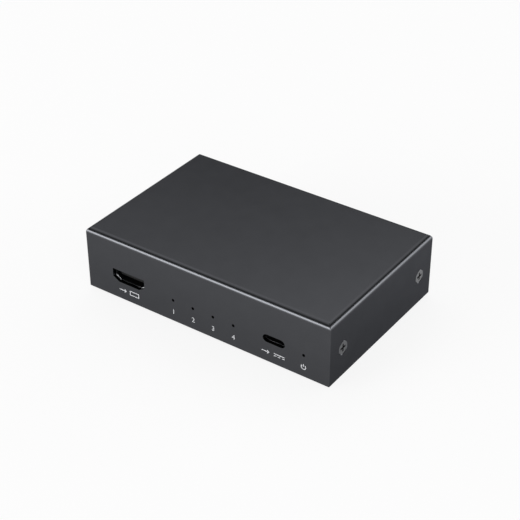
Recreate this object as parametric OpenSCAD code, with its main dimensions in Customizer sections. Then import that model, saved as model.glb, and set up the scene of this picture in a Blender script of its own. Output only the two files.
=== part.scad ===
// A four-way video splitter in a small flat metal case. The front has one video socket,
// a row of indicator lamps and a power socket. The rear has four video sockets.
// The case is a five-sided cover that drops over a flat base plate. The plate has four
// upturned ears, and countersunk screws in the side walls hold the cover to them.
// The origin is the middle of the footprint, on the surface that the feet stand on.
// +X is right as seen from the front, +Y runs to the rear and +Z is up.

/* [Case] */
// Width of the case, left to right
body_w = 108; // [100:0.5:140]
// Depth of the case, front to rear
body_d = 69.6; // [62:0.1:100]
// Height of the case without its feet
body_h = 26; // [22:0.1:40]
// Thickness of the cover's sheet
wall_t = 1.2; // [0.9:0.05:1.5]
// Outer radius of the cover's four top edges
corner_r = 2; // [1:0.1:3]
// Thickness of the base plate and its ears
base_t = 1.2; // [0.9:0.05:1.5]
// Gap between the base plate and the cover's walls
base_gap = 0.2; // [0.1:0.05:0.4]

/* [Feet] */
// Diameter of a rubber foot where it is stuck on
foot_d = 8; // [5:0.5:12]
// Height of a rubber foot
foot_h = 1; // [0.6:0.1:3]
// From the left or right edge of the case to a foot's centre
foot_inset_x = 14; // [12:0.5:24]
// From the front or rear edge of the case to a foot's centre
foot_inset_y = 9; // [7:0.5:14]

/* [Cover fastening] */
// Thread diameter of the cover's screws
cover_screw_d = 3; // [2.5:0.1:3.5]
// Head diameter of the cover's screws
cover_screw_head_d = 5.3; // [4.6:0.1:6]
// Whole length of a cover screw
cover_screw_l = 5; // [4:0.5:7]
// From the front or rear face to a cover screw's axis
cover_screw_inset = 8.5; // [7:0.5:12]
// From the lower edge of the case to the cover screws' axes
cover_screw_rise = 12; // [11:0.5:14]
// Width of an ear of the base plate
ear_w = 10; // [8:0.5:12]

/* [Board] */
// Thickness of the circuit board
board_t = 1.6; // [1:0.1:2]
// Height of the standoffs between the base plate and the board
standoff_h = 4; // [3.5:0.1:6]
// Gap between the board's side edges and the ears
board_side_gap = 0.4; // [0.2:0.1:1]
// Gap between the board's front and rear edges and the cover
board_end_gap = 0.75; // [0.5:0.05:2]
// From the board's side edges to the standoffs
board_hole_inset_x = 4; // [3.5:0.1:5]
// From the board's front and rear edges to the standoffs
board_hole_inset_y = 10.7; // [8.5:0.1:13]

/* [Video sockets] */
// Width of the space that takes the plug
video_open_w = 14; // [13.9:0.05:14.3]
// Height of the space that takes the plug
video_open_h = 4.55; // [4.5:0.05:4.8]
// How far the lower corners are cut in along the width
video_bevel_w = 2.3; // [1.5:0.1:2.8]
// How far the lower corners are cut in along the height
video_bevel_h = 1.55; // [1:0.05:2]
// Sheet thickness of the socket's shell
video_shell_t = 0.25; // [0.2:0.05:0.4]
// Depth of the space that takes the plug
video_plug_depth = 6.9; // [6:0.1:8]
// Height of the opening's centre above the board
video_rise = 3.05; // [2.9:0.05:3.6]
// From the left end of the case to the input socket's centre
video_in_from_left = 19.6; // [16:0.1:22]
// Number of output sockets
output_count = 4; // [4:1:4]
// From the ends of the case to the centres of the outer output sockets
output_margin = 18; // [17.5:0.1:19]
// Gap between a socket's mouth and the inside of the cover
socket_setback = 0.25; // [0.15:0.05:0.6]
// Gap all round a socket's shell in the outline of the cover's cut-out
cutout_gap = 0.2; // [0.1:0.05:0.4]

/* [Power socket] */
// Width of the space that takes the plug
power_open_w = 8.34; // [8.3:0.02:8.6]
// Height of the space that takes the plug
power_open_h = 2.56; // [2.5:0.02:2.8]
// Sheet thickness of the socket's shell
power_shell_t = 0.3; // [0.2:0.05:0.4]
// Depth of the space that takes the plug
power_plug_depth = 4.9; // [4.5:0.1:6]
// Height of the opening's centre above the board
power_rise = 3.05; // [2.6:0.05:3.6]
// From the right end of the case to the power socket's centre
power_in_from_right = 23.1; // [22:0.1:26]

/* [Indicator lamps] */
// Distance between the four output lamps
lamp_pitch = 9; // [6:0.1:9.5]
// Sideways place of the middle of the lamp row
lamp_row_x = 0; // [-2:0.1:2]
// From the right end of the case to the power lamp
power_lamp_from_right = 10.6; // [10:0.1:12]
// Height of the lamps' axes above the board
lamp_rise = 2.5; // [2.3:0.1:4]
// Diameter of a lamp's lens
lamp_d = 3; // [2:0.1:3]
// Diameter of the cover's lamp holes
lamp_hole_d = 1.4; // [0.8:0.1:2]

/* [Cooling] */
// Width and depth of the heat sink
sink_w = 22; // [16:0.5:26]
// Height of the heat sink
sink_h = 8; // [4:0.5:9]
// Thickness of the thermal pad between the chip and the heat sink
pad_t = 0.5; // [0.3:0.1:1]

/* [Hidden] */
$fn = 48;

// How far a cut runs past the face that it opens
cut_over = 0.5;
// Clearance of pressed-in and inserted pieces
fit_gap = 0.05;
// Smallest radius inside the cover's bends
bend_r_min = 0.1;

// Levels, from the surface that the feet stand on
base_z = foot_h;
base_top_z = base_z + base_t;
board_z = base_top_z + standoff_h;
board_top_z = board_z + board_t;
screw_z = base_z + cover_screw_rise;

// The cover's inside and the base plate in it
cavity_w = body_w - 2 * wall_t;
cavity_d = body_d - 2 * wall_t;
cavity_h = body_h - wall_t;
cavity_r = max(corner_r - wall_t, bend_r_min);
base_w = cavity_w - 2 * base_gap;
base_d = cavity_d - 2 * base_gap;
screw_y = body_d / 2 - cover_screw_inset;

// The ears of the base plate
ear_bend_inner_r = 0.4;
ear_bend_r = base_t + ear_bend_inner_r;
ear_relief = 1;
ear_leg = 4;
ear_over_screw = 5;
ear_h = cover_screw_rise + ear_over_screw;

// The screws of the cover, flush with the wall or just below it
screw_sink = 0.08;
screw_room_gap = 0.12;
cover_screw_cone_h = (cover_screw_head_d - cover_screw_d) / 2;
cross_bar_w = 0.65;
cross_share = 0.56;
cross_depth_share = 0.8;

// The clinch nuts pressed into the ears
nut_d = 6.3;
nut_t = 1.4;
nut_pilot_d = 4.4;
nut_pilot_back = 0.1;

// The board, its standoffs and its screws
board_w = base_w - 2 * base_t - 2 * board_side_gap;
board_d = cavity_d - 2 * board_end_gap;
board_hole_x = board_w / 2 - board_hole_inset_x;
board_hole_y = board_d / 2 - board_hole_inset_y;
board_corner_r = 1.5;
board_screw_d = 3;
board_hole_gap = 0.1;
board_hole_d = board_screw_d + 2 * board_hole_gap;
board_screw_head_d = 5.5;
board_screw_head_h = 1.9;
board_screw_head_r = 0.5;
board_screw_l = 4.5;
standoff_af = 5;
standoff_shank_d = 4.2;
sheet_t = 0.25;
sheet_inset = 2;
sheet_hole_gap = 0.6;

// The mouths of the sockets, just inside the cover
mouth_y = cavity_d / 2 - socket_setback;

// The video sockets
video_grip_l = 2.1;
video_housing_l = 3;
video_tube_l = video_plug_depth + video_grip_l;
video_l = video_tube_l + video_housing_l;
video_outer_w = video_open_w + 2 * video_shell_t;
video_shell_top = video_open_h / 2 + video_shell_t;
video_tongue_w = 11.2;
video_tongue_t = 1.2;
video_tongue_setback = 1;
video_contact_w = 0.3;
video_contact_t = 0.15;
video_contact_pitch = 1;
video_contact_setback = 0.4;
video_upper_count = 10;
video_lower_count = 9;
contact_foot_l = 0.8;
contact_slot_gap = 0.03;
video_leg_w = 1.2;
video_leg_front_y = 2.4;
video_leg_rear_setback = 1.2;
video_leg_rear_y = video_l - video_leg_rear_setback - video_leg_w;
leg_stick = 0.7;
leg_slot_gap = 0.2;
lead_hole_gap = 0.15;
video_leaf_w = 1.6;
video_leaf_l = 3.6;
video_leaf_slot = 0.35;
video_leaf_x = 3.4;
video_leaf_y = 1.9;
output_pitch = (body_w - 2 * output_margin) / (output_count - 1);
video_in_x = video_in_from_left - body_w / 2;
video_z = board_top_z + video_rise;

// The power socket, which stands on a riser
power_grip_l = 1.6;
power_housing_l = 0.9;
power_tube_l = power_plug_depth + power_grip_l;
power_l = power_tube_l + power_housing_l;
power_outer_w = power_open_w + 2 * power_shell_t;
power_outer_h = power_open_h + 2 * power_shell_t;
power_tongue_w = 6.69;
power_tongue_t = 0.7;
power_tongue_setback = 0.8;
power_contact_w = 0.35;
power_contact_t = 0.12;
power_contact_pitch = 0.5;
power_contact_setback = 0.5;
power_contact_place_shares = [0.5, 2.5, 5.5];
power_leg_w = 1;
power_leg_front_y = 1.2;
power_leg_rear_setback = 0.6;
power_leg_rear_y = power_tube_l - power_leg_rear_setback - power_leg_w;
power_riser_setback = 0.5;
power_in_x = body_w / 2 - power_in_from_right;
power_z = board_top_z + power_rise;

// The indicator lamps and their holders
lamp_count = 4;
lamp_setback = 0.3;
lamp_flange_w = 0.4;
lamp_flange_d = lamp_d + 2 * lamp_flange_w;
lamp_flange_t = 0.6;
lamp_barrel_l = 3.2;
lamp_lead_w = 0.5;
lamp_lead_pitch = 1.8;
lamp_lead_run = 1.1;
lamp_dome_y = cavity_d / 2 - lamp_setback;
lamp_l = lamp_d / 2 + lamp_barrel_l + lamp_flange_t;
lamp_z = board_top_z + lamp_rise;
power_lamp_x = body_w / 2 - power_lamp_from_right;
holder_wall = 0.6;
holder_bore_gap = 0.1;
holder_over = 0.5;
holder_w = lamp_d + 2 * holder_wall + 2 * holder_bore_gap;
holder_end_gap = 0.2;
holder_l = lamp_barrel_l - holder_end_gap;

// The splitter chip under its pad and heat sink
splitter_w = 14;
splitter_h = 1.1;
splitter_place_shares = [0.02, 0.03];
chip_dot_d = 1;
chip_dot_depth = 0.1;
chip_dot_inset = 1.5;
pad_inset = 0.5;
pad_w = splitter_w - 2 * pad_inset;
sink_base_t = 2;
sink_fin_t = 1;
sink_fin_count = 8;

// The controller and the memory chip, with gull-wing leads
lead_w = 0.22;
lead_t = 0.15;
lead_reach = 1;
lead_foot_l = 0.5;
controller_w = 7;
controller_h = 1.4;
controller_lead_pitch = 0.5;
controller_lead_count = 12;
controller_place_shares = [-0.26, 0.03];
memory_w = 4.9;
memory_d = 3.9;
memory_h = 1.5;
memory_lead_w = 0.42;
memory_lead_pitch = 1.27;
memory_lead_count = 4;
memory_place_shares = [-0.38, 0.13];
chip_stand_off = 0.1;

// The clock crystal
crystal_w = 11;
crystal_d = 4.6;
crystal_h = 3.5;
crystal_rim = 0.35;
crystal_rim_t = 0.5;
crystal_place_shares = [-0.38, -0.06];

// The power parts, in three rows of three
power_column_shares = [0.215, 0.305, 0.395];
can_d = 6.3;
can_h = 5.4;
can_base_w = 6.6;
can_base_t = 0.8;
can_base_cut = 1.4;
can_row_share = -0.22;
regulator_w = 2.9;
regulator_d = 1.6;
regulator_h = 1.1;
regulator_lead_w = 0.4;
regulator_lead_pitch = 0.95;
regulator_lead_count = 3;
regulator_row_share = -0.09;
inductor_w = 5;
inductor_h = 2.8;
inductor_core_d = 4.2;
inductor_base_t = 0.5;
inductor_row_share = 0.03;
fuse_w = 4.6;
fuse_d = 3.2;
fuse_h = 0.9;
fuse_place_shares = [0.37, -0.32];

// Small two-ended chips: ceramic capacitors, resistors and the fuse
passive_w = 1.6;
passive_d = 0.8;
capacitor_h = 0.8;
resistor_h = 0.45;
passive_cap_l = 0.35;
passive_cap_over = 0.05;
ring_gap = 1.1;
ring_pitch = 4.2;
resistor_count = 6;
resistor_pitch = 1.6;
resistor_gap = 2.4;

// The surge arrays behind each video socket
surge_w = 2.5;
surge_d = 1;
surge_h = 0.5;
surge_x = 2.6;
surge_gap = 1.2;

// The programming header
header_pitch = 2.54;
header_count = 4;
header_base_h = 2.5;
header_pin_w = 0.64;
header_pin_up = 6;
header_pin_down = 1.2;
header_place_shares = [-0.37, -0.19];

// A block given by its lowest and highest places along the three axes
module block(x, y, z) {
    translate([x[0], y[0], z[0]]) cube([x[1] - x[0], y[1] - y[0], z[1] - z[0]]);
}

// Carries an outline drawn in X and Z from y = 0 to y = length
module along_y(length) {
    translate([0, length, 0]) rotate([90, 0, 0]) linear_extrude(length) children();
}

// A rectangle on its bottom edge, with its two top corners rounded
module arch_outline(w, h, r) {
    translate([-w / 2, 0]) square([w, h - r]);
    translate([-w / 2 + r, 0]) square([w - 2 * r, h]);
    for (side = [-1, 1]) translate([side * (w / 2 - r), h - r]) circle(r);
}

// A slot outline with round ends
module stadium(w, h) {
    square([w - h, h], center = true);
    for (side = [-1, 1]) translate([side * (w - h) / 2, 0]) circle(d = h);
}

// A rectangle with four rounded corners
module round_rectangle(w, d, r) {
    square([w - 2 * r, d], center = true);
    square([w, d - 2 * r], center = true);
    for (sx = [-1, 1]) for (sy = [-1, 1]) translate([sx * (w / 2 - r), sy * (d / 2 - r)]) circle(r);
}

// A box with rounded upper edges, standing on its open side
module arch_box(w, d, h, r) {
    intersection() {
        translate([0, -d / 2, 0]) along_y(d) arch_outline(w, h, r);
        rotate([0, 0, 90]) translate([0, -w / 2, 0]) along_y(w) arch_outline(d, h, r);
    }
}

// The outline of a video socket, wide at the top, grown outwards by the given distance
module video_outline(grow) {
    slope = atan2(video_bevel_h, video_bevel_w);
    half_w = video_open_w / 2 + grow;
    half_h = video_open_h / 2 + grow;
    cut_w = video_bevel_w + grow - grow * (1 - cos(slope)) / sin(slope);
    cut_h = video_bevel_h + grow - grow * (1 - sin(slope)) / cos(slope);
    polygon([[-half_w, half_h], [half_w, half_h], [half_w, cut_h - half_h], [half_w - cut_w, -half_h],
        [cut_w - half_w, -half_h], [-half_w, cut_h - half_h]]);
}

// The outline of the power socket, grown outwards by the given distance
module power_outline(grow) {
    stadium(power_open_w + 2 * grow, power_open_h + 2 * grow);
}

// Puts a front socket or lamp in place: its own +Y runs into the case
module at_front(x, depth, z) {
    translate([x, -depth, z]) children();
}

// The same for the rear, where it is turned round
module at_rear(x, depth, z) {
    translate([x, depth, z]) rotate([0, 0, 180]) children();
}

function output_x(number) = ((output_count + 1) / 2 - number) * output_pitch;
function lamp_x(number) = lamp_row_x + (number - (lamp_count + 1) / 2) * lamp_pitch;
function on_board(shares) = [shares[0] * board_w, shares[1] * board_d, board_top_z];

module at_output(number) {
    at_rear(output_x(number), mouth_y, video_z) children();
}

module at_video_in() {
    at_front(video_in_x, mouth_y, video_z) children();
}

module at_video_sockets() {
    at_video_in() children();
    for (number = [1:output_count]) at_output(number) children();
}

module at_power_in() {
    at_front(power_in_x, mouth_y, power_z) children();
}

module at_lamps() {
    for (number = [1:lamp_count]) at_front(lamp_x(number), lamp_dome_y, lamp_z) children();
    at_front(power_lamp_x, lamp_dome_y, lamp_z) children();
}

// The four cover screws, each with its own +Z pointing out of the side wall
module at_cover_screws() {
    for (side = [-1, 1]) for (end = [-1, 1])
        translate([side * body_w / 2, end * screw_y, screw_z]) rotate([0, side * 90, 0]) children();
}

module at_board_holes() {
    for (sx = [-1, 1]) for (sy = [-1, 1]) translate([sx * board_hole_x, sy * board_hole_y, 0]) children();
}

// The space that a cover screw needs in the wall, the ear and the nut
module cover_screw_room() {
    translate([0, 0, -screw_sink]) {
        translate([0, 0, -cover_screw_cone_h]) cylinder(h = cover_screw_cone_h,
            d1 = cover_screw_d + 2 * screw_room_gap, d2 = cover_screw_head_d + 2 * screw_room_gap);
        cylinder(h = screw_sink + cut_over, d = cover_screw_head_d + 2 * screw_room_gap);
    }
    translate([0, 0, -wall_t - base_gap - cut_over])
        cylinder(h = wall_t + base_gap + cut_over, d = cover_screw_d + 2 * screw_room_gap);
}

// A cross recess from z = 0 downwards
module cross_recess(head_d, depth) {
    for (turn = [0, 90]) rotate([0, 0, turn])
        translate([-head_d * cross_share / 2, -cross_bar_w / 2, -depth])
            cube([head_d * cross_share, cross_bar_w, depth + cut_over]);
    translate([0, 0, -depth]) cylinder(h = depth, d1 = cross_bar_w, d2 = 2 * cross_bar_w);
}

module top_cover() {
    color("#4a4b4e") translate([0, 0, base_z]) difference() {
        arch_box(body_w, body_d, body_h, corner_r);
        translate([0, 0, -cut_over]) arch_box(cavity_w, cavity_d, cavity_h + cut_over, cavity_r);
        translate([0, 0, -base_z]) cover_openings();
    }
}

// The cover's cut-outs for the sockets and lamps and its countersunk screw holes
module cover_openings() {
    through = wall_t + socket_setback + cut_over;
    at_video_sockets() translate([0, -through, 0])
        along_y(through) video_outline(video_shell_t + cutout_gap);
    at_power_in() translate([0, -through, 0]) along_y(through) power_outline(power_shell_t + cutout_gap);
    at_lamps() rotate([90, 0, 0]) cylinder(h = wall_t + lamp_setback + cut_over, d = lamp_hole_d);
    at_cover_screws() cover_screw_room();
}

module base_plate() {
    color("#3b3c3e") difference() {
        union() {
            difference() {
                block([-base_w / 2, base_w / 2], [-base_d / 2, base_d / 2], [base_z, base_top_z]);
                for (side = [-1, 1]) for (end = [-1, 1]) translate([side * base_w / 2, end * screw_y, 0])
                    block([-ear_leg, ear_leg], [-ear_w / 2 - ear_relief, ear_w / 2 + ear_relief],
                        [base_z - cut_over, base_top_z + cut_over]);
            }
            for (side = [0, 1]) for (end = [-1, 1]) mirror([side, 0, 0])
                translate([base_w / 2, end * screw_y - ear_w / 2, base_z]) along_y(ear_w) ear_outline();
        }
        at_cover_screws() cover_screw_room();
        at_cover_screws() translate([0, 0, -wall_t - base_gap - base_t - cut_over])
            cylinder(h = base_t + 2 * cut_over, d = nut_pilot_d + 2 * fit_gap);
        at_board_holes() translate([0, 0, base_z - cut_over])
            cylinder(h = base_t + 2 * cut_over, d = standoff_shank_d + 2 * fit_gap);
    }
}

// The side view of a bent-up ear, with its outer face at x = 0
module ear_outline() {
    translate([-base_t, ear_bend_r]) square([base_t, ear_h - ear_bend_r]);
    translate([-ear_leg, 0]) square([ear_leg - ear_bend_r, base_t]);
    translate([-ear_bend_r, ear_bend_r]) intersection() {
        difference() {
            circle(ear_bend_r);
            circle(ear_bend_r - base_t);
        }
        translate([0, -ear_bend_r]) square(ear_bend_r);
    }
}

module cover_screws() {
    color("#8b8c8e") at_cover_screws() translate([0, 0, -screw_sink]) difference() {
        union() {
            translate([0, 0, -cover_screw_cone_h])
                cylinder(h = cover_screw_cone_h, d1 = cover_screw_d, d2 = cover_screw_head_d);
            translate([0, 0, -cover_screw_l])
                cylinder(h = cover_screw_l - cover_screw_cone_h, d = cover_screw_d);
        }
        cross_recess(cover_screw_head_d, cover_screw_cone_h * cross_depth_share);
    }
}

module clinch_nuts() {
    color("#b9bab6") at_cover_screws() translate([0, 0, -wall_t - base_gap]) difference() {
        union() {
            translate([0, 0, -base_t]) cylinder(h = base_t - nut_pilot_back, d = nut_pilot_d);
            translate([0, 0, -base_t - nut_t]) cylinder(h = nut_t, d = nut_d);
        }
        translate([0, 0, -base_t - nut_t - cut_over])
            cylinder(h = base_t + nut_t + 2 * cut_over, d = cover_screw_d + 2 * fit_gap);
        translate([0, 0, wall_t + base_gap]) cover_screw_room();
    }
}

module board_standoffs() {
    color("#b08d4c") at_board_holes() difference() {
        union() {
            translate([0, 0, base_top_z]) cylinder(h = standoff_h, d = standoff_af / cos(30), $fn = 6);
            translate([0, 0, base_z]) cylinder(h = base_t, d = standoff_shank_d);
        }
        translate([0, 0, base_z - cut_over])
            cylinder(h = base_t + standoff_h + 2 * cut_over, d = board_screw_d + 2 * fit_gap);
    }
}

// A round-headed screw: the outline of its head and shank is turned about its axis
module board_screws() {
    head_r = board_screw_head_d / 2;
    color("#c3c4c0") at_board_holes() translate([0, 0, board_top_z]) difference() {
        rotate_extrude() {
            square([head_r - board_screw_head_r, board_screw_head_h]);
            square([head_r, board_screw_head_h - board_screw_head_r]);
            translate([head_r - board_screw_head_r, board_screw_head_h - board_screw_head_r])
                intersection() {
                    circle(board_screw_head_r);
                    square(board_screw_head_r);
                }
            translate([0, -board_screw_l]) square([board_screw_d / 2, board_screw_l]);
        }
        translate([0, 0, board_screw_head_h])
            cross_recess(board_screw_head_d, board_screw_head_h * cross_depth_share / 2);
    }
}

module insulating_sheet() {
    color("#e4e2d8") difference() {
        translate([0, 0, base_top_z]) linear_extrude(sheet_t) round_rectangle(
            board_w - 2 * sheet_inset - 2 * ear_leg, board_d - 2 * sheet_inset, board_corner_r);
        at_board_holes() translate([0, 0, base_top_z - cut_over])
            cylinder(h = sheet_t + 2 * cut_over, d = standoff_af / cos(30) + 2 * sheet_hole_gap);
    }
}

module foot(side, end) {
    color("#232325")
        translate([side * (body_w / 2 - foot_inset_x), end * (body_d / 2 - foot_inset_y), 0])
            cylinder(h = foot_h, d1 = foot_d - foot_h / 2, d2 = foot_d);
}

module foot_front_left() { foot(-1, -1); }
module foot_front_right() { foot(1, -1); }
module foot_rear_left() { foot(-1, 1); }
module foot_rear_right() { foot(1, 1); }

module main_board() {
    color("#1d1f20") difference() {
        translate([0, 0, board_z]) linear_extrude(board_t) round_rectangle(board_w, board_d, board_corner_r);
        translate([0, 0, board_z - cut_over]) {
            at_board_holes() cylinder(h = board_t + 2 * cut_over, d = board_hole_d);
            translate([0, 0, cut_over - board_z]) board_pierces();
        }
    }
}

// Slots for the socket legs and holes for the lamp leads and the header's pins
module board_pierces() {
    depth = [-board_t - cut_over, cut_over];
    at_video_sockets() for (y = [video_leg_front_y, video_leg_rear_y]) for (side = [-1, 1])
        translate([side * (video_outer_w - video_shell_t) / 2, y + video_leg_w / 2, -video_rise])
            block([-video_shell_t / 2 - leg_slot_gap, video_shell_t / 2 + leg_slot_gap],
                [-video_leg_w / 2 - leg_slot_gap, video_leg_w / 2 + leg_slot_gap], depth);
    at_power_in() for (y = [power_leg_front_y, power_leg_rear_y]) for (side = [-1, 1])
        translate([side * (power_outer_w - power_shell_t) / 2, y + power_leg_w / 2, -power_rise])
            block([-power_shell_t / 2 - leg_slot_gap, power_shell_t / 2 + leg_slot_gap],
                [-power_leg_w / 2 - leg_slot_gap, power_leg_w / 2 + leg_slot_gap], depth);
    lead_y = lamp_l + lamp_lead_run - lamp_lead_w / 2;
    at_lamps() for (side = [-1, 1])
        translate([side * lamp_lead_pitch / 2, lead_y, depth[0] - lamp_rise])
            cylinder(h = depth[1] - depth[0], d = lamp_lead_w * sqrt(2) + 2 * lead_hole_gap);
    translate(on_board(header_place_shares)) at_header_pins() translate([0, 0, depth[0]])
        cylinder(h = depth[1] - depth[0], d = header_pin_w * sqrt(2) + 2 * lead_hole_gap);
}

// A video socket's shell: a tube for the plug, a hood over its rear and four legs
module video_shell() {
    foot_z = -video_rise - board_t - leg_stick;
    color("#8e8f8d") {
        difference() {
            union() {
                along_y(video_tube_l) video_outline(video_shell_t);
                block([-video_outer_w / 2, video_outer_w / 2], [video_tube_l, video_l],
                    [-video_rise, video_shell_top]);
                for (y = [video_leg_front_y, video_leg_rear_y]) for (side = [0, 1]) mirror([side, 0, 0])
                    block([video_open_w / 2, video_outer_w / 2], [y, y + video_leg_w], [foot_z, 0]);
            }
            translate([0, -cut_over, 0]) along_y(video_tube_l + cut_over) video_outline(0);
            block([-video_open_w / 2, video_open_w / 2], [video_tube_l, video_l + cut_over],
                [foot_z - cut_over, video_open_h / 2]);
            for (side = [-1, 1])
                translate([side * video_leaf_x, video_leaf_y, (video_open_h + video_shell_t) / 2])
                    leaf_slot();
        }
    }
}

// The slot that sets a spring leaf free on three sides
module leaf_slot() {
    half = video_leaf_w / 2;
    far = half + video_leaf_slot;
    over = [-video_shell_t, video_shell_t];
    for (side = [0, 1]) mirror([side, 0, 0]) block([half, far], [0, video_leaf_l + video_leaf_slot], over);
    block([-far, far], [video_leaf_l, video_leaf_l + video_leaf_slot], over);
}

// A video socket's insulator: the tongue, the plug space's floor and the rear housing
module video_insulator() {
    color("#1b1b1c") difference() {
        union() {
            block([-video_tongue_w / 2, video_tongue_w / 2], [video_tongue_setback, video_tube_l],
                [-video_tongue_t / 2, video_tongue_t / 2]);
            translate([0, video_plug_depth, 0]) along_y(video_tube_l - video_plug_depth + fit_gap)
                video_outline(-fit_gap);
            block([fit_gap - video_open_w / 2, video_open_w / 2 - fit_gap], [video_tube_l, video_l],
                [-video_rise, video_open_h / 2 - fit_gap]);
        }
        for (row = [1, -1]) for (x = video_row(row))
            translate([x, 0, row * (video_tongue_t + video_contact_t) / 2])
                contact_slot(video_contact_w, video_contact_t, video_plug_depth, video_l);
    }
}

// The slot that a contact lies in inside an insulator's housing
module contact_slot(w, t, front, back) {
    half_w = w / 2 + contact_slot_gap;
    half_t = t / 2 + contact_slot_gap;
    block([-half_w, half_w], [front, back + cut_over], [-half_t, half_t]);
}

// The sideways places of the upper row, 1, and the lower row, -1
function video_row(row) =
    let (count = row > 0 ? video_upper_count : video_lower_count)
    [for (i = [1:count]) (i - (count + 1) / 2) * video_contact_pitch];

// The contacts: strips on the tongue, each bent down to a foot on the board
module video_contacts() {
    color("#b9954a") for (row = [1, -1]) for (x = video_row(row)) translate([x, 0, 0])
        contact(video_contact_w, video_contact_t, row * (video_tongue_t + video_contact_t) / 2,
            video_tongue_setback + video_contact_setback, video_l, video_rise);
}

// One contact: a strip from y = start to behind y = back, a leg and a foot
module contact(w, t, z, start, back, rise) {
    leg_y = back + fit_gap;
    block([-w / 2, w / 2], [start, leg_y + t], [z - t / 2, z + t / 2]);
    block([-w / 2, w / 2], [leg_y, leg_y + t], [-rise, z + t / 2]);
    block([-w / 2, w / 2], [leg_y, leg_y + contact_foot_l], [-rise, -rise + t]);
}

module video_in_shell() { at_video_in() video_shell(); }
module video_in_insulator() { at_video_in() video_insulator(); }
module video_in_contacts() { at_video_in() video_contacts(); }
module output_shell(number) { at_output(number) video_shell(); }
module output_insulator(number) { at_output(number) video_insulator(); }
module output_contacts(number) { at_output(number) video_contacts(); }

module power_in_shell() {
    foot_z = -power_rise - board_t - leg_stick;
    color("#8e8f8d") at_power_in() difference() {
        union() {
            along_y(power_tube_l) power_outline(power_shell_t);
            for (y = [power_leg_front_y, power_leg_rear_y]) for (side = [0, 1]) mirror([side, 0, 0])
                block([power_open_w / 2, power_outer_w / 2], [y, y + power_leg_w], [foot_z, 0]);
        }
        translate([0, -cut_over, 0]) along_y(power_tube_l + 2 * cut_over) power_outline(0);
    }
}

module power_in_insulator() {
    color("#1b1b1c") at_power_in() difference() {
        union() {
            block([-power_tongue_w / 2, power_tongue_w / 2], [power_tongue_setback, power_tube_l],
                [-power_tongue_t / 2, power_tongue_t / 2]);
            translate([0, power_plug_depth, 0]) along_y(power_tube_l - power_plug_depth + fit_gap)
                power_outline(-fit_gap);
            block([-power_tongue_w / 2, power_tongue_w / 2], [power_tube_l + fit_gap, power_l],
                [-power_rise, power_open_h / 2]);
        }
        for (row = [1, -1]) for (x = power_row(row))
            translate([x, 0, row * (power_tongue_t + power_contact_t) / 2])
                contact_slot(power_contact_w, power_contact_t, power_plug_depth, power_l);
    }
}

// The sideways places of the power contacts: the lower row mirrors the upper one
function power_row(row) = [for (share = power_contact_place_shares) row * share * power_contact_pitch];

module power_in_contacts() {
    color("#b9954a") at_power_in() for (row = [1, -1]) for (x = power_row(row)) translate([x, 0, 0])
        contact(power_contact_w, power_contact_t, row * (power_tongue_t + power_contact_t) / 2,
            power_tongue_setback + power_contact_setback, power_l, power_rise);
}

// The plastic block that lifts the power socket off the board, clear of the shell's legs
module power_in_riser() {
    color("#1b1b1c") at_power_in()
        block([fit_gap - power_open_w / 2, power_open_w / 2 - fit_gap], [power_riser_setback, power_tube_l],
            [-power_rise, -power_outer_h / 2]);
}

// A lamp lying on its side: dome, barrel, flange and two leads bent down through the board
module lamp(tint) {
    color(tint) {
        rotate([-90, 0, 0]) translate([0, 0, lamp_d / 2]) {
            intersection() {
                sphere(d = lamp_d);
                translate([0, 0, -lamp_d]) cylinder(h = lamp_d, d = lamp_d);
            }
            cylinder(h = lamp_barrel_l, d = lamp_d);
            translate([0, 0, lamp_barrel_l]) cylinder(h = lamp_flange_t, d = lamp_flange_d);
        }
        half_lead = lamp_lead_w / 2;
        for (side = [-1, 1]) translate([side * lamp_lead_pitch / 2, lamp_l, 0]) {
            block([-half_lead, half_lead], [0, lamp_lead_run], [-half_lead, half_lead]);
            block([-half_lead, half_lead], [lamp_lead_run - lamp_lead_w, lamp_lead_run],
                [-lamp_rise - board_t - leg_stick, 0]);
        }
    }
}

// The holder that a lamp's barrel lies in, standing on the board
module lamp_holder() {
    color("#1b1b1c") translate([0, lamp_d / 2, 0]) difference() {
        block([-holder_w / 2, holder_w / 2], [0, holder_l], [-lamp_rise, lamp_d / 2 + holder_over]);
        rotate([-90, 0, 0]) translate([0, 0, -cut_over])
            cylinder(h = holder_l + 2 * cut_over, d = lamp_d + 2 * holder_bore_gap);
    }
}

module status_lamp(number) { at_front(lamp_x(number), lamp_dome_y, lamp_z) lamp("#dfe3e0"); }
module power_lamp() { at_front(power_lamp_x, lamp_dome_y, lamp_z) lamp("#dfe3e0"); }
module status_lamp_holder(number) { at_front(lamp_x(number), lamp_dome_y, lamp_z) lamp_holder(); }
module power_lamp_holder() { at_front(power_lamp_x, lamp_dome_y, lamp_z) lamp_holder(); }

// A flat chip body with a round mark in its upper corner
module chip_body(w, d, h) {
    difference() {
        translate([-w / 2, -d / 2, 0]) cube([w, d, h]);
        translate([chip_dot_inset - w / 2, d / 2 - chip_dot_inset, h - chip_dot_depth])
            cylinder(h = chip_dot_depth + cut_over, d = chip_dot_d);
    }
}

// A row of gull-wing leads along a chip's +Y side
module lead_row(count, pitch, w, edge, h) {
    for (i = [1:count]) translate([(i - (count + 1) / 2) * pitch, edge, 0]) {
        block([-w / 2, w / 2], [0, lead_reach - lead_foot_l], [h / 2 - lead_t / 2, h / 2 + lead_t / 2]);
        block([-w / 2, w / 2], [lead_reach - lead_foot_l - lead_t, lead_reach - lead_foot_l], [0, h / 2]);
        block([-w / 2, w / 2], [lead_reach - lead_foot_l - lead_t, lead_reach], [0, lead_t]);
    }
}

module splitter_chip() {
    color("#222324") translate(on_board(splitter_place_shares)) chip_body(splitter_w, splitter_w, splitter_h);
}

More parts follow.
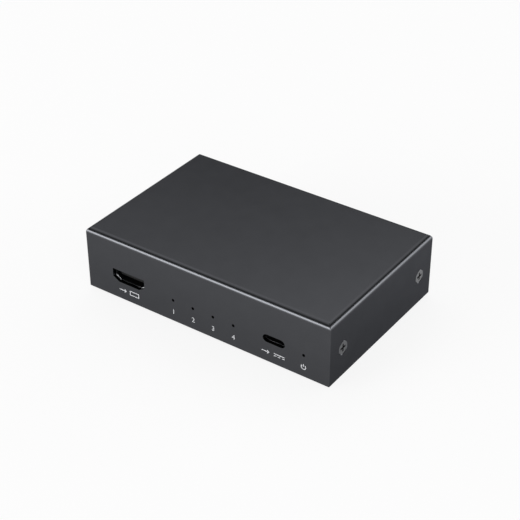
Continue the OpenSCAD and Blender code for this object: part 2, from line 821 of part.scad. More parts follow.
module thermal_pad() {
    color("#9aa7b5") translate(on_board(splitter_place_shares))
        translate([-pad_w / 2, -pad_w / 2, splitter_h]) cube([pad_w, pad_w, pad_t]);
}

module heat_sink() {
    fin_step = (sink_w - sink_fin_t) / (sink_fin_count - 1);
    color("#27282a") translate(on_board(splitter_place_shares))
        translate([-sink_w / 2, -sink_w / 2, splitter_h + pad_t]) {
            cube([sink_w, sink_w, sink_base_t]);
            for (i = [0:sink_fin_count - 1]) translate([i * fin_step, 0, 0])
                cube([sink_fin_t, sink_w, sink_h]);
        }
}

module controller_chip() {
    color("#222324") translate(on_board(controller_place_shares)) {
        translate([0, 0, chip_stand_off]) chip_body(controller_w, controller_w, controller_h);
        for (turn = [0:90:270]) rotate([0, 0, turn])
            lead_row(controller_lead_count, controller_lead_pitch, lead_w, controller_w / 2, controller_h);
    }
}

module memory_chip() {
    color("#222324") translate(on_board(memory_place_shares)) {
        translate([0, 0, chip_stand_off]) chip_body(memory_w, memory_d, memory_h);
        for (turn = [0, 180]) rotate([0, 0, turn])
            lead_row(memory_lead_count, memory_lead_pitch, memory_lead_w, memory_d / 2, memory_h);
    }
}

module clock_crystal() {
    color("#b4b5b2") translate(on_board(crystal_place_shares)) {
        linear_extrude(crystal_rim_t) stadium(crystal_w, crystal_d);
        linear_extrude(crystal_h) stadium(crystal_w - 2 * crystal_rim, crystal_d - 2 * crystal_rim);
    }
}

// Puts a copy at each power column, in the row at the given share of the board's depth
module at_power_columns(row_share) {
    for (share = power_column_shares) translate(on_board([share, row_share])) children();
}

module regulator_chips() {
    color("#222324") at_power_columns(regulator_row_share) {
        translate([-regulator_w / 2, -regulator_d / 2, chip_stand_off])
            cube([regulator_w, regulator_d, regulator_h]);
        for (turn = [0, 180]) rotate([0, 0, turn]) lead_row(regulator_lead_count,
            regulator_lead_pitch, regulator_lead_w, regulator_d / 2, regulator_h);
    }
}

module power_inductors() {
    color("#4c4a48") at_power_columns(inductor_row_share) {
        translate([-inductor_w / 2, -inductor_w / 2, 0]) cube([inductor_w, inductor_w, inductor_base_t]);
        cylinder(h = inductor_h, d = inductor_core_d);
    }
}

// The square base of a capacitor, with two corners cut to mark its polarity
module capacitor_bases() {
    half = can_base_w / 2;
    cut = half - can_base_cut;
    color("#1b1b1c") at_power_columns(can_row_share) linear_extrude(can_base_t)
        polygon([[-half, -half], [half, -half], [half, cut], [cut, half], [-cut, half], [-half, cut]]);
}

module capacitor_cans() {
    color("#c9cac7") at_power_columns(can_row_share) translate([0, 0, can_base_t])
        cylinder(h = can_h, d = can_d);
}

// A small chip with a metal cap at each end
module passive(w, d, h) {
    translate([-w / 2, -d / 2, 0]) cube([w, d, h]);
    for (side = [0, 1]) mirror([side, 0, 0])
        block([w / 2 - passive_cap_l, w / 2], [-d / 2 - passive_cap_over, d / 2 + passive_cap_over],
            [0, h + passive_cap_over]);
}

module power_fuse() {
    color("#3f6d4a") translate(on_board(fuse_place_shares)) passive(fuse_w, fuse_d, fuse_h);
}

// Capacitors round the splitter chip, under the rim of the heat sink
module chip_capacitors() {
    color("#b09a78") translate(on_board(splitter_place_shares)) for (turn = [0:90:270]) rotate([0, 0, turn])
        for (i = [-1:1]) translate([i * ring_pitch, splitter_w / 2 + ring_gap + passive_d / 2, 0])
            passive(passive_w, passive_d, capacitor_h);
}

// A row of resistors beside the controller
module chip_resistors() {
    row_y = controller_w / 2 + lead_reach + resistor_gap;
    color("#2a2b2e") translate(on_board(controller_place_shares)) for (i = [1:resistor_count])
        translate([(i - (resistor_count + 1) / 2) * resistor_pitch, -row_y, 0])
            rotate([0, 0, 90]) passive(passive_w, passive_d, resistor_h);
}

// Two surge arrays behind the contacts of each video socket
module surge_arrays() {
    color("#222324") at_video_sockets() for (side = [-1, 1])
        translate([side * surge_x, video_l + contact_foot_l + surge_gap + surge_d / 2, -video_rise])
            translate([-surge_w / 2, -surge_d / 2, 0]) cube([surge_w, surge_d, surge_h]);
}

module at_header_pins() {
    for (i = [1:header_count]) translate([(i - (header_count + 1) / 2) * header_pitch, 0, 0]) children();
}

module header_base() {
    color("#1b1b1c") translate(on_board(header_place_shares)) difference() {
        translate([-header_count * header_pitch / 2, -header_pitch / 2, 0])
            cube([header_count * header_pitch, header_pitch, header_base_h]);
        at_header_pins() translate([-header_pin_w / 2 - fit_gap, -header_pin_w / 2 - fit_gap, -cut_over])
            cube([header_pin_w + 2 * fit_gap, header_pin_w + 2 * fit_gap, header_base_h + 2 * cut_over]);
    }
}

module header_pins() {
    color("#b9954a") translate(on_board(header_place_shares)) at_header_pins()
        block([-header_pin_w / 2, header_pin_w / 2], [-header_pin_w / 2, header_pin_w / 2],
            [-board_t - header_pin_down, header_base_h + header_pin_up]);
}

top_cover();
base_plate();
cover_screws();
clinch_nuts();
board_standoffs();
board_screws();
insulating_sheet();
foot_front_left();
foot_front_right();
foot_rear_left();
foot_rear_right();
main_board();
video_in_shell();
video_in_insulator();
video_in_contacts();
output_shell(1);  // output_1_shell
output_insulator(1);  // output_1_insulator
output_contacts(1);  // output_1_contacts
output_shell(2);  // output_2_shell
output_insulator(2);  // output_2_insulator
output_contacts(2);  // output_2_contacts
output_shell(3);  // output_3_shell
output_insulator(3);  // output_3_insulator
output_contacts(3);  // output_3_contacts
output_shell(4);  // output_4_shell
output_insulator(4);  // output_4_insulator
output_contacts(4);  // output_4_contacts
power_in_shell();
power_in_insulator();
power_in_contacts();
power_in_riser();
status_lamp(1);  // status_lamp_1
status_lamp(2);  // status_lamp_2
status_lamp(3);  // status_lamp_3
status_lamp(4);  // status_lamp_4
power_lamp();
status_lamp_holder(1);  // lamp_holder_1
status_lamp_holder(2);  // lamp_holder_2
status_lamp_holder(3);  // lamp_holder_3
status_lamp_holder(4);  // lamp_holder_4
power_lamp_holder();
splitter_chip();
thermal_pad();
heat_sink();
controller_chip();
memory_chip();
clock_crystal();
regulator_chips();
power_inductors();
capacitor_bases();
capacitor_cans();
power_fuse();
chip_capacitors();
chip_resistors();
surge_arrays();
header_base();
header_pins();
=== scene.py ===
"""The looks of a four-way video splitter: a flat metal case, its sockets, lamps, screws and board."""
import logging
import math
from collections.abc import Callable, Sequence
from dataclasses import dataclass, field
from enum import Enum

import bpy
from bpy.types import Material, Mesh, Node, NodeSocket, NodeTree, Object
from mathutils import Matrix, Vector, geometry


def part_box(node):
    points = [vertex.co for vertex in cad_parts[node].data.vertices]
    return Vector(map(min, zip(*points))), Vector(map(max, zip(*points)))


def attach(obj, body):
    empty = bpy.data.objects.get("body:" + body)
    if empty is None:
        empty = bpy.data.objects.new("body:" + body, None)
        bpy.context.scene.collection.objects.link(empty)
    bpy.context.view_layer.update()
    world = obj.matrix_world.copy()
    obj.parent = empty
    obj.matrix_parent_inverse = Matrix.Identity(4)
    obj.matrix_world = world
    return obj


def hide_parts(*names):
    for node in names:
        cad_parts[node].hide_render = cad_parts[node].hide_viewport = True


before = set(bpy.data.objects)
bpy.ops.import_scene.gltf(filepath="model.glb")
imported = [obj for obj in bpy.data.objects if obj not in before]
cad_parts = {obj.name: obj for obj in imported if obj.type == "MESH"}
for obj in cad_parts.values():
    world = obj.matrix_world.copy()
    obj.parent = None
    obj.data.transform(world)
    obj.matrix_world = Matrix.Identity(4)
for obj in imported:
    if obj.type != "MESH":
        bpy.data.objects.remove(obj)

log = logging.getLogger("splitter")
MM = 0.001
# Edges under this angle are shaded round
SMOOTH_BELOW = math.radians(32)
# Points that agree to one part in this many of a millimetre are one point
WELD = 10000
# Straight steps in a round corner
CORNER_STEPS = 4
# Straight sides of a round outline, and of a lamp's small one
ROUND_SIDES, LAMP_SIDES = 48, 28
# A length in mm that keeps the points of an outline apart and can't be seen
HAIR = 1e-4
Loop = list[Vector]
Outline = Callable[[float], Loop]


def linear(colour: str) -> tuple[float, ...]:
    """Turns an sRGB hex colour to the linear values that a shader takes.

    Args:
        colour: Six hex digits after a hash.

    Returns:
        Red, green, blue and a full alpha.
    """
    parts = [int(colour[i:i + 2], 16) / 255 for i in (1, 3, 5)]
    return *(p / 12.92 if p <= 0.04045 else ((p + 0.055) / 1.055) ** 2.4 for p in parts), 1.0


def add_node(tree: NodeTree, kind: str, inputs: dict | None = None, **settings: object) -> Node:
    """Adds a node with its settings, values and links.

    Args:
        tree: The tree that gets the node.
        kind: The node's type.
        inputs: For an input's name or number, the value that it takes or the socket that feeds it.
        settings: The node's own settings.

    Returns:
        The new node.
    """
    made = tree.nodes.new(kind)
    for name, value in settings.items():
        setattr(made, name, value)
    for key, value in (inputs or {}).items():
        if isinstance(value, NodeSocket):
            tree.links.new(value, made.inputs[key])
        else:
            made.inputs[key].default_value = value
    return made


def cleared(owner: Material | bpy.types.World) -> NodeTree:
    """Gives a material or a world an empty tree of its own.

    Args:
        owner: The material or world.

    Returns:
        Its tree.
    """
    owner.use_nodes = True
    owner.node_tree.nodes.clear()
    return owner.node_tree


def put(name: str, data: bpy.types.ID) -> Object:
    """Adds an object to the scene.

    Args:
        name: Its name.
        data: Its mesh, curve, camera or lamp.

    Returns:
        The object.
    """
    made = bpy.data.objects.new(name, data)
    bpy.context.scene.collection.objects.link(made)
    return made


def evaluated(item: Object) -> Mesh:
    """The plain mesh that an object's text or modifiers give."""
    graph = bpy.context.evaluated_depsgraph_get()
    return bpy.data.meshes.new_from_object(item.evaluated_get(graph), depsgraph=graph)


class Facing(Enum):
    """Which way the outer side of a piece looks: its own right, up and outward axes in the frame."""

    FRONT = ((1, 0, 0), (0, 0, 1), (0, -1, 0))
    REAR = ((-1, 0, 0), (0, 0, 1), (0, 1, 0))
    RIGHT = ((0, 1, 0), (0, 0, 1), (1, 0, 0))
    LEFT = ((0, -1, 0), (0, 0, 1), (-1, 0, 0))
    UP = ((1, 0, 0), (0, 1, 0), (0, 0, 1))

    def at(self, x: float, y: float, z: float) -> Matrix:
        """The matrix from the axes of a piece that looks this way to the frame, from its place in mm."""
        turn = Matrix([Vector(axis) for axis in self.value]).transposed().to_4x4()
        return Matrix.Translation((x, y, z)) @ turn


def rectangle(half_w: float, half_h: float, radius: float, steps: int = CORNER_STEPS) -> tuple[Loop, Loop]:
    """A rectangle about the origin with round corners, counter-clockwise from its lower left corner.

    Args:
        half_w: Half its width.
        half_h: Half its height.
        radius: Radius of its corners.
        steps: Straight steps in each corner.

    Returns:
        The points, and the outward direction at each.
    """
    points, outward = [], []
    for corner, (sx, sy) in enumerate(((-1, -1), (1, -1), (1, 1), (-1, 1))):
        centre = Vector((sx * (half_w - radius), sy * (half_h - radius), 0))
        for step in range(steps + 1):
            angle = math.pi + (corner + step / steps) * math.pi / 2
            outward.append(Vector((math.cos(angle), math.sin(angle), 0)))
            points.append(centre + outward[-1] * radius)
    return points, outward


def circle(radius: float, count: int) -> Loop:
    """Points on a circle about the origin, counter-clockwise."""
    turns = [2 * math.pi * i / count for i in range(count)]
    return [Vector((radius * math.cos(t), radius * math.sin(t), 0)) for t in turns]


def grown(corners: Loop, grow: float) -> Loop:
    """Moves the sides of a closed outline outwards.

    Args:
        corners: The outline's corners, counter-clockwise.
        grow: How far each side moves.

    Returns:
        The new corners.
    """
    sides = [(corners[(i + 1) % len(corners)] - p).normalized() for i, p in enumerate(corners)]
    normals = [Vector((s.y, -s.x, 0)) for s in sides]
    return [p + (normals[i - 1] + normals[i]) * (grow / (1 + normals[i - 1].dot(normals[i])))
            for i, p in enumerate(corners)]


def rounded(corners: Loop, radius: float) -> Loop:
    """Rounds the corners of a convex outline.

    Args:
        corners: Its corners, counter-clockwise.
        radius: The corners' radius.

    Returns:
        The new outline.
    """
    found = []
    for i, corner in enumerate(corners):
        back = (corners[i - 1] - corner).normalized()
        ahead = (corners[(i + 1) % len(corners)] - corner).normalized()
        half = back.angle(ahead) / 2
        centre = corner + (back + ahead).normalized() * (radius / math.sin(half))
        start = corner + back * (radius / math.tan(half)) - centre
        step = (math.pi - 2 * half) / CORNER_STEPS
        found += [centre + Matrix.Rotation(step * s, 3, "Z") @ start for s in range(CORNER_STEPS + 1)]
    return found


def moved(loop: Loop, right: float = 0.0, up: float = 0.0, out: float = 0.0) -> Loop:
    """Copies an outline to another place."""
    return [p + Vector((right, up, out)) for p in loop]


def flat(*points: tuple[float, float]) -> Loop:
    """Points in a plane, from pairs of numbers."""
    return [Vector((*p, 0)) for p in points]


def ribbon(path: Loop, width: float) -> Loop:
    """The outline of a strip of even width along an open path.

    Args:
        path: The middle line.
        width: The strip's width.

    Returns:
        The outline's points.
    """
    sides = [(b - a).normalized() for a, b in zip(path, path[1:])]
    normals = [Vector((-s.y, s.x, 0)) for s in sides]
    left, right = [], []
    for i, point in enumerate(path):
        before, after = normals[max(i - 1, 0)], normals[min(i, len(normals) - 1)]
        step = (before + after) * (width / 2 / (1 + before.dot(after)))
        left.append(point + step)
        right.append(point - step)
    return left + right[::-1]


class Pattern(Enum):
    """How a surface varies: how its pattern is stretched along each axis."""

    GRAIN = (1.0, 1.0, 1.0)
    BRUSHED = (0.04, 1.0, 1.0)
    TRACKS = (1.0, 1.0, 0.0)


@dataclass(frozen=True)
class Finish:
    """One real material: its colour, its gloss and the pattern of its surface.

    Args:
        name: The material's name.
        slot: The record's material slot, or None for a print. Not used.
        colour: Its sRGB colour.
        roughness: Its mean roughness.
        metallic: 1 for bare or dyed metal.
        pattern: How it varies.
        grain_mm: Size of the pattern's grain.
        shade_share: How far the colour varies.
        gloss_share: How far the roughness varies.
        relief_mm: Height of the grain.
        edge_tint: How much a surface keeps of its glint at a grazing view.
        clear: Share of light that passes through.
        second: The colour that the pattern brings in, or None for a darker shade of the first.
        fine_detail: Octaves of the fine grain.
        fine_roughness: How strong each octave is against the one before.
        fine_weight: The fine grain's share over the clouds.
        cloud_scale: Size of the grain against the clouds.
        cloud_detail: Octaves of the clouds.
        grain_reach: The values of grain and clouds together that become 0 and 1.
        track_cell_mm: Distance of the places that a board's tracks turn about.
        track_edge: Where across its turn a track ends, from 0 to 1.
    """

    name: str
    slot: str | None
    colour: str
    roughness: float
    metallic: float = 0.0
    pattern: Pattern = Pattern.GRAIN
    grain_mm: float = 0.5
    shade_share: float = 0.06
    gloss_share: float = 0.12
    relief_mm: float = 0.002
    edge_tint: float = 1.0
    clear: float = 0.0
    second: str | None = None
    fine_detail: float = 3.0
    fine_roughness: float = 0.6
    fine_weight: float = 0.75
    cloud_scale: float = 0.06
    cloud_detail: float = 2.0
    grain_reach: tuple[float, float] = (0.6, 1.15)
    track_cell_mm: float = 8.0
    track_edge: tuple[float, float] = (0.44, 0.5)

    def material(self) -> Material:
        """Builds the material, once.

        Returns:
            The material, whose pattern reads Object coordinates.
        """
        made = bpy.data.materials.get(self.name)
        if made:
            return made
        made = bpy.data.materials.new(self.name)
        made.diffuse_color = colour = linear(self.colour)
        tree = cleared(made)
        grain = self.tracks(tree) if self.pattern is Pattern.TRACKS else self.grain(tree)
        dark = linear(self.second) if self.second else (
            *(c * (1 - 2 * self.shade_share) for c in colour[:3]), 1.0)
        shade = add_node(tree, "ShaderNodeMix", {0: grain, 6: dark, 7: colour}, data_type="RGBA")
        gloss = add_node(tree, "ShaderNodeMapRange", {
            "Value": grain, "To Min": self.roughness * (1 - self.gloss_share),
            "To Max": min(1.0, self.roughness * (1 + self.gloss_share))})
        bump = add_node(tree, "ShaderNodeBump", {
            "Height": grain, "Strength": 1.0, "Distance": self.relief_mm * MM})
        shader = add_node(tree, "ShaderNodeBsdfPrincipled", {
            "Base Color": shade.outputs[2], "Metallic": self.metallic,
            "Roughness": gloss.outputs[0], "Normal": bump.outputs[0],
            "Specular Tint": (*(self.edge_tint,) * 3, 1.0), "Transmission Weight": self.clear})
        add_node(tree, "ShaderNodeOutputMaterial", {"Surface": shader.outputs[0]})
        return made

    def grain(self, tree: NodeTree) -> NodeSocket:
        """Adds the nodes of a fine grain over soft clouds.

        Args:
            tree: The material's tree.

        Returns:
            The socket that gives the pattern, about 0 to 1.
        """
        place = add_node(tree, "ShaderNodeTexCoord").outputs["Object"]
        scaled = add_node(tree, "ShaderNodeMapping", {
            "Vector": place, "Scale": [s / (self.grain_mm * MM) for s in self.pattern.value]}).outputs[0]
        fine = add_node(tree, "ShaderNodeTexNoise", {
            "Vector": scaled, "Scale": 1.0, "Detail": self.fine_detail,
            "Roughness": self.fine_roughness})
        clouds = add_node(tree, "ShaderNodeTexNoise", {
            "Vector": scaled, "Scale": self.cloud_scale, "Detail": self.cloud_detail})
        mixed = add_node(tree, "ShaderNodeMath", {
            0: fine.outputs["Fac"], 1: self.fine_weight, 2: clouds.outputs["Fac"]}, operation="MULTIPLY_ADD")
        low, high = self.grain_reach
        return add_node(tree, "ShaderNodeMapRange", {
            "Value": mixed.outputs[0], "From Min": low, "From Max": high}).outputs[0]

    def tracks(self, tree: NodeTree) -> NodeSocket:
        """Adds the nodes of a board's copper tracks, which turn square corners about random places.

        Args:
            tree: The material's tree.

        Returns:
            The socket that is 1 over a track and 0 beside it.
        """
        place = add_node(tree, "ShaderNodeTexCoord").outputs["Object"]
        level = add_node(tree, "ShaderNodeMapping", {"Vector": place, "Scale": self.pattern.value})
        cells = add_node(tree, "ShaderNodeTexVoronoi", {
            "Vector": level.outputs[0], "Scale": 1 / (self.track_cell_mm * MM), "Randomness": 1.0},
            distance="MANHATTAN")
        turns = add_node(tree, "ShaderNodeMath", {
            0: cells.outputs["Distance"], 1: self.track_cell_mm / self.grain_mm / 2}, operation="MULTIPLY")
        wave = add_node(tree, "ShaderNodeMath", {0: turns.outputs[0], 1: 1.0}, operation="FLOORED_MODULO")
        low, high = self.track_edge
        return add_node(tree, "ShaderNodeMapRange", {
            "Value": wave.outputs[0], "From Min": low, "From Max": high}).outputs[0]


# Bead-blasted aluminium with a slate-grey dye: an even satin that mirrors lamps softly. The dye lies in a
# clear layer over the metal, so a slanting view passes through more of it and looks darker. The real grit
# is about 0.1 mm, drawn at 0.35 mm so that it shows.
CASE = Finish("satin_anodised_aluminium", "case_anodised", "#4c4d50", 0.24, 1.0, Pattern.GRAIN, 0.35,
              0.03, 0.05, 0.0004, edge_tint=0.38)
# The same dye on the flat base plate, blasted coarser, so that it looks duller
PLATE = Finish("matt_anodised_aluminium", "base_anodised", "#3d3e41", 0.42, 1.0, edge_tint=0.5)
# Black nickel on steel: a smoky grey satin on the heads
SCREW = Finish("black_nickel_steel", "screw_steel", "#58595c", 0.34, 1.0, Pattern.GRAIN, 0.3, 0.12, 0.2)
# The same plating in the cross recesses, coloured near black: painted shade of the deep recess
PAINTED_RECESS_SHADE = Finish("black_nickel_painted_recess_shade", "screw_steel", "#2b2b2d", 0.5, 1.0, Pattern.GRAIN, 0.3, 0.1, 0.1)
# Zinc plating: bright, with a cool cast and small clouds
ZINC = Finish("zinc_plated_steel", "zinc_steel", "#b9bcbd", 0.32, 1.0, Pattern.GRAIN, 0.6, 0.08, 0.2)
# Turned brass, with fine lines left by the tool
BRASS = Finish("turned_brass", "brass", "#b4924f", 0.28, 1.0, Pattern.BRUSHED, 0.3, 0.08, 0.2)
# Polypropylene film under the board: milky, with soft clouds
FILM = Finish("polypropylene_film", "insulating_film", "#dddbd0", 0.38, grain_mm=2.0)
# Cast rubber of the feet: near black, dull, faintly dusty
RUBBER = Finish("cast_rubber", "rubber", "#242426", 0.72, grain_mm=0.6, shade_share=0.12, relief_mm=0.006)
# Glass laminate under black solder mask, a little lighter over the copper tracks
LAMINATE = Finish("solder_masked_laminate", "board_laminate", "#232627", 0.32, pattern=Pattern.TRACKS,
                  relief_mm=0.02, second="#18191a")
# Nickel on the sockets' bent-out lips in its plain light colour: the lit copy of the shells' nickel, whose
# colour carries painted shade
LIT_NICKEL_LIP = Finish("nickel_lip_lit_copy", "socket_shell", "#8f9092", 0.24, 1.0, Pattern.BRUSHED, 0.3, 0.06, 0.2)
# Nickel on the stamped shells of the sockets, darkened as painted shade of the cut-outs that they sit behind:
# a soft mirror that is near black inside
SHADED_NICKEL_SHELL = Finish("nickel_shell_painted_shade", "socket_shell", "#58595b", 0.28, 1.0, Pattern.BRUSHED, 0.3, 0.06, 0.2)
# The nickel of the power socket's drawn shell, darkened further as painted shade of its deep slot, in which
# it hardly shows
DRAWN_SHELL_PAINTED_SHADE = Finish("drawn_nickel_shell_painted_shade", "socket_shell", "#444446", 0.34, 1.0, Pattern.BRUSHED, 0.3, 0.06, 0.2)
# Glass-filled black plastic of the sockets: matt, with a faint grain
TONGUE = Finish("glass_filled_plastic", "socket_plastic", "#131314", 0.5, grain_mm=0.25, edge_tint=0.3)
# Gold flash over phosphor bronze: a warm soft mirror
GOLD = Finish("gold_flashed_bronze", "contact_gold", "#c39a4a", 0.22, 1.0, Pattern.BRUSHED, 0.2, 0.06, 0.2)
# Clear epoxy of the lamps' lenses: glassy and faintly green
LENS = Finish("clear_epoxy", "lamp_clear", "#e9ece9", 0.12, clear=0.9, grain_mm=1.0, shade_share=0.01)
# Black nylon of the lamps' holders and the pin header: dark, with a dull sheen
NYLON = Finish("black_nylon", "holder_plastic", "#1d1d1f", 0.46)
# Moulding compound of the chips: dark, dull, sandy
CHIP = Finish("moulding_compound", "chip_plastic", "#242527", 0.58, grain_mm=0.2, relief_mm=0.004)
# Silicone pad between the chip and its heat sink: blue-grey and matt
PAD = Finish("silicone_pad", "pad_silicone", "#94a2b1", 0.66, grain_mm=0.6, relief_mm=0.006)
# Extruded aluminium with black anodising, drawn out along its fins
SINK = Finish("black_anodised_extrusion", "sink_aluminium", "#2b2c2e", 0.36, 1.0, Pattern.BRUSHED, 0.3,
              0.1, 0.2, edge_tint=0.6)
# Drawn aluminium of the capacitors' cans: bright, with lines of the drawing
CAN = Finish("drawn_aluminium", "can_aluminium", "#c6c7c5", 0.3, 1.0, Pattern.BRUSHED, 0.3)
# Rolled stainless steel of the crystal's can: bright and a little yellow
CRYSTAL = Finish("stainless_can", "crystal_steel", "#b2b3b1", 0.3, 1.0, Pattern.BRUSHED, 0.3)
# Pressed ferrite of the inductors: grey, chalky
FERRITE = Finish("pressed_ferrite", "ferrite", "#4b4947", 0.68, grain_mm=0.3, shade_share=0.1,
                 relief_mm=0.008)
# Polymer of the resettable fuse: leaf green, half matt
FUSE = Finish("fuse_polymer", "fuse_polymer", "#3c6b47", 0.5, grain_mm=0.4)
# Fired ceramic of the capacitors: tan, half matt
CERAMIC = Finish("fired_ceramic", "ceramic_tan", "#a98f6b", 0.5, grain_mm=0.3)
# Resistive film under black glaze: dark and glossy
GLAZE = Finish("black_glaze", "resistor_black", "#232427", 0.3, grain_mm=0.3)
# Screen-printed ink: pale grey, matt, slightly thin at its grain
INK = Finish("pale_print_ink", None, "#dcdde0", 0.55, grain_mm=0.2, shade_share=0.04)


class Draft:
    """A mesh in the making, in mm and in its own right, up and outward axes. Equal points are one point."""

    def __init__(self) -> None:
        """Starts with nothing, and takes faces as they are given until it has another turn."""
        self.numbers: dict[tuple[int, ...], int] = {}
        self.points: Loop = []
        self.faces: list[tuple[list[int], Loop | None, int]] = []
        self.turn = Matrix.Identity(4)

    def face(self, corners: Loop, normals: Loop | None = None, finish: int = 0) -> None:
        """Adds a face, unless it has no area.

        Args:
            corners: Its corners, counter-clockwise as seen from outside.
            normals: The direction that each corner is shaded in, or None for a flat face.
            finish: The number of its finish.
        """
        kept: dict[int, Vector | None] = {}
        for i, corner in enumerate(corners):
            placed = self.turn @ corner
            number = self.numbers.setdefault(tuple(round(c * WELD) for c in placed), len(self.points))
            if number == len(self.points):
                self.points.append(placed)
            kept.setdefault(number, normals[i] if normals else None)
        if len(kept) > 2:
            self.faces.append((list(kept), list(kept.values()) if normals else None, finish))

    def band(self, first: Loop, second: Loop, shading: tuple[Loop, Loop] | None = None, finish: int = 0,
             corners_only: bool = False) -> None:
        """Joins two closed outlines of as many points with quads.

        Args:
            first: The outline nearer to the start.
            second: The next one. Seen along the way there, both run counter-clockwise.
            shading: The normals on the two outlines, or None for flat faces.
            finish: The number of the finish.
            corners_only: True where plates fill the straight sides between round corners.
        """
        for i in range(len(first)):
            j = (i + 1) % len(first)
            if corners_only and i % (CORNER_STEPS + 1) == CORNER_STEPS:
                continue
            normals = [shading[0][i], shading[0][j], shading[1][j], shading[1][i]] if shading else None
            self.face([first[i], first[j], second[j], second[i]], normals, finish)

    def sweep(self, loops: Sequence[Loop], finish: int = 0, lids: tuple[bool, bool] = (True, True)) -> None:
        """Joins outlines one after another.

        Args:
            loops: The outlines, each counter-clockwise as seen from the last one.
            finish: The number of the finish.
            lids: Whether a face closes the first outline, and the last one.
        """
        for first, second in zip(loops, loops[1:]):
            self.band(first, second, finish=finish)
        for wanted, lid in zip(lids, (loops[0][::-1], loops[-1])):
            if wanted:
                self.face(lid, finish=finish)

    def plate(self, edge: Loop, holes: Sequence[Loop], up: bool = True) -> None:
        """Fills the flat area between an outline and the holes in it.

        Args:
            edge: The outline, counter-clockwise.
            holes: The outlines of the holes.
            up: True if the face looks outwards, False if it looks inwards.
        """
        points, rings = [], []
        for loop in (edge, *holes):
            rings.append(list(range(len(points), len(points) + len(loop))))
            points += loop
        _, _, triangles, sources, _, inside = geometry.delaunay_2d_cdt(
            [p.xy for p in points], [], rings, 1, 1e-6, True)
        for triangle, rings_round in zip(triangles, inside):
            if set(rings_round) == {0}:
                corners = [points[sources[number][0]] for number in triangle]
                turn = (corners[1] - corners[0]).cross(corners[2] - corners[0]).z
                self.face(corners if (turn > 0) == up else corners[::-1])

    def prism(self, outline: Loop, low: float, high: float, sideways: bool = False) -> None:
        """Carries an outline straight from one place to another.

        Args:
            outline: Its points, as right and up, or as up and out for a prism along the right axis.
            low: Where it starts.
            high: Where it ends.
            sideways: True for a prism along the right axis.
        """
        ordered = outline if geometry.normal(outline).z > 0 else outline[::-1]
        self.sweep([[Vector((c, p.x, p.y) if sideways else (p.x, p.y, c)) for p in ordered]
                    for c in (low, high)])

    def build(self, name: str, finishes: Sequence[Finish], place: Matrix | None = None,
              smooth: bool = True) -> Object:
        """Turns the draft into an object whose place is in its mesh.

        Args:
            name: The object's name.
            finishes: Its finishes, by number.
            place: From the draft's axes to the frame, in mm.
            smooth: True where edges under a small angle are shaded round.

        Returns:
            The object.
        """
        place = place or Matrix.Identity(4)
        mesh = bpy.data.meshes.new(name)
        mesh.from_pydata([(place @ p) * MM for p in self.points], [],
                         [numbers for numbers, _, _ in self.faces], shade_flat=not smooth)
        for finish in finishes:
            mesh.materials.append(finish.material())
        for polygon, (_, _, number) in zip(mesh.polygons, self.faces):
            polygon.material_index = number
        if any(shading for _, shading, _ in self.faces):
            normals = []
            for numbers, shading, _ in self.faces:
                ways = shading or [geometry.normal([self.points[n] for n in numbers])] * len(numbers)
                normals += [(place.to_3x3() @ way).normalized() for way in ways]
            mesh.normals_split_custom_set(normals)
        elif smooth:
            mesh.set_sharp_from_angle(angle=SMOOTH_BELOW)
        return put(name, mesh)


def settle(piece: Object, finish: Finish, *nodes: str) -> None:
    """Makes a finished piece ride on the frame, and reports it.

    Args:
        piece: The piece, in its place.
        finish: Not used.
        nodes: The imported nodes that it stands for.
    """
    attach(piece, "root")
    if nodes:
        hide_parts(*nodes)
    log.info("%s: %d faces", piece.name, len(piece.data.polygons))


def dress(node: str, finish: Finish) -> None:
    """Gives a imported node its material, and reports it.

    Args:
        node: The node.
        finish: Its finish.
    """
    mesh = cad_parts[node].data
    mesh.materials.clear()
    mesh.materials.append(finish.material())
    log.info("%s: %s", node, finish.name)


def box_mm(node: str) -> tuple[Vector, Vector]:
    """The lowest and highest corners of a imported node, in mm."""
    low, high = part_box(node)
    return low / MM, high / MM


def middle_mm(node: str) -> Vector:
    """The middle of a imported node's box, in mm."""
    return sum(box_mm(node), Vector()) / 2


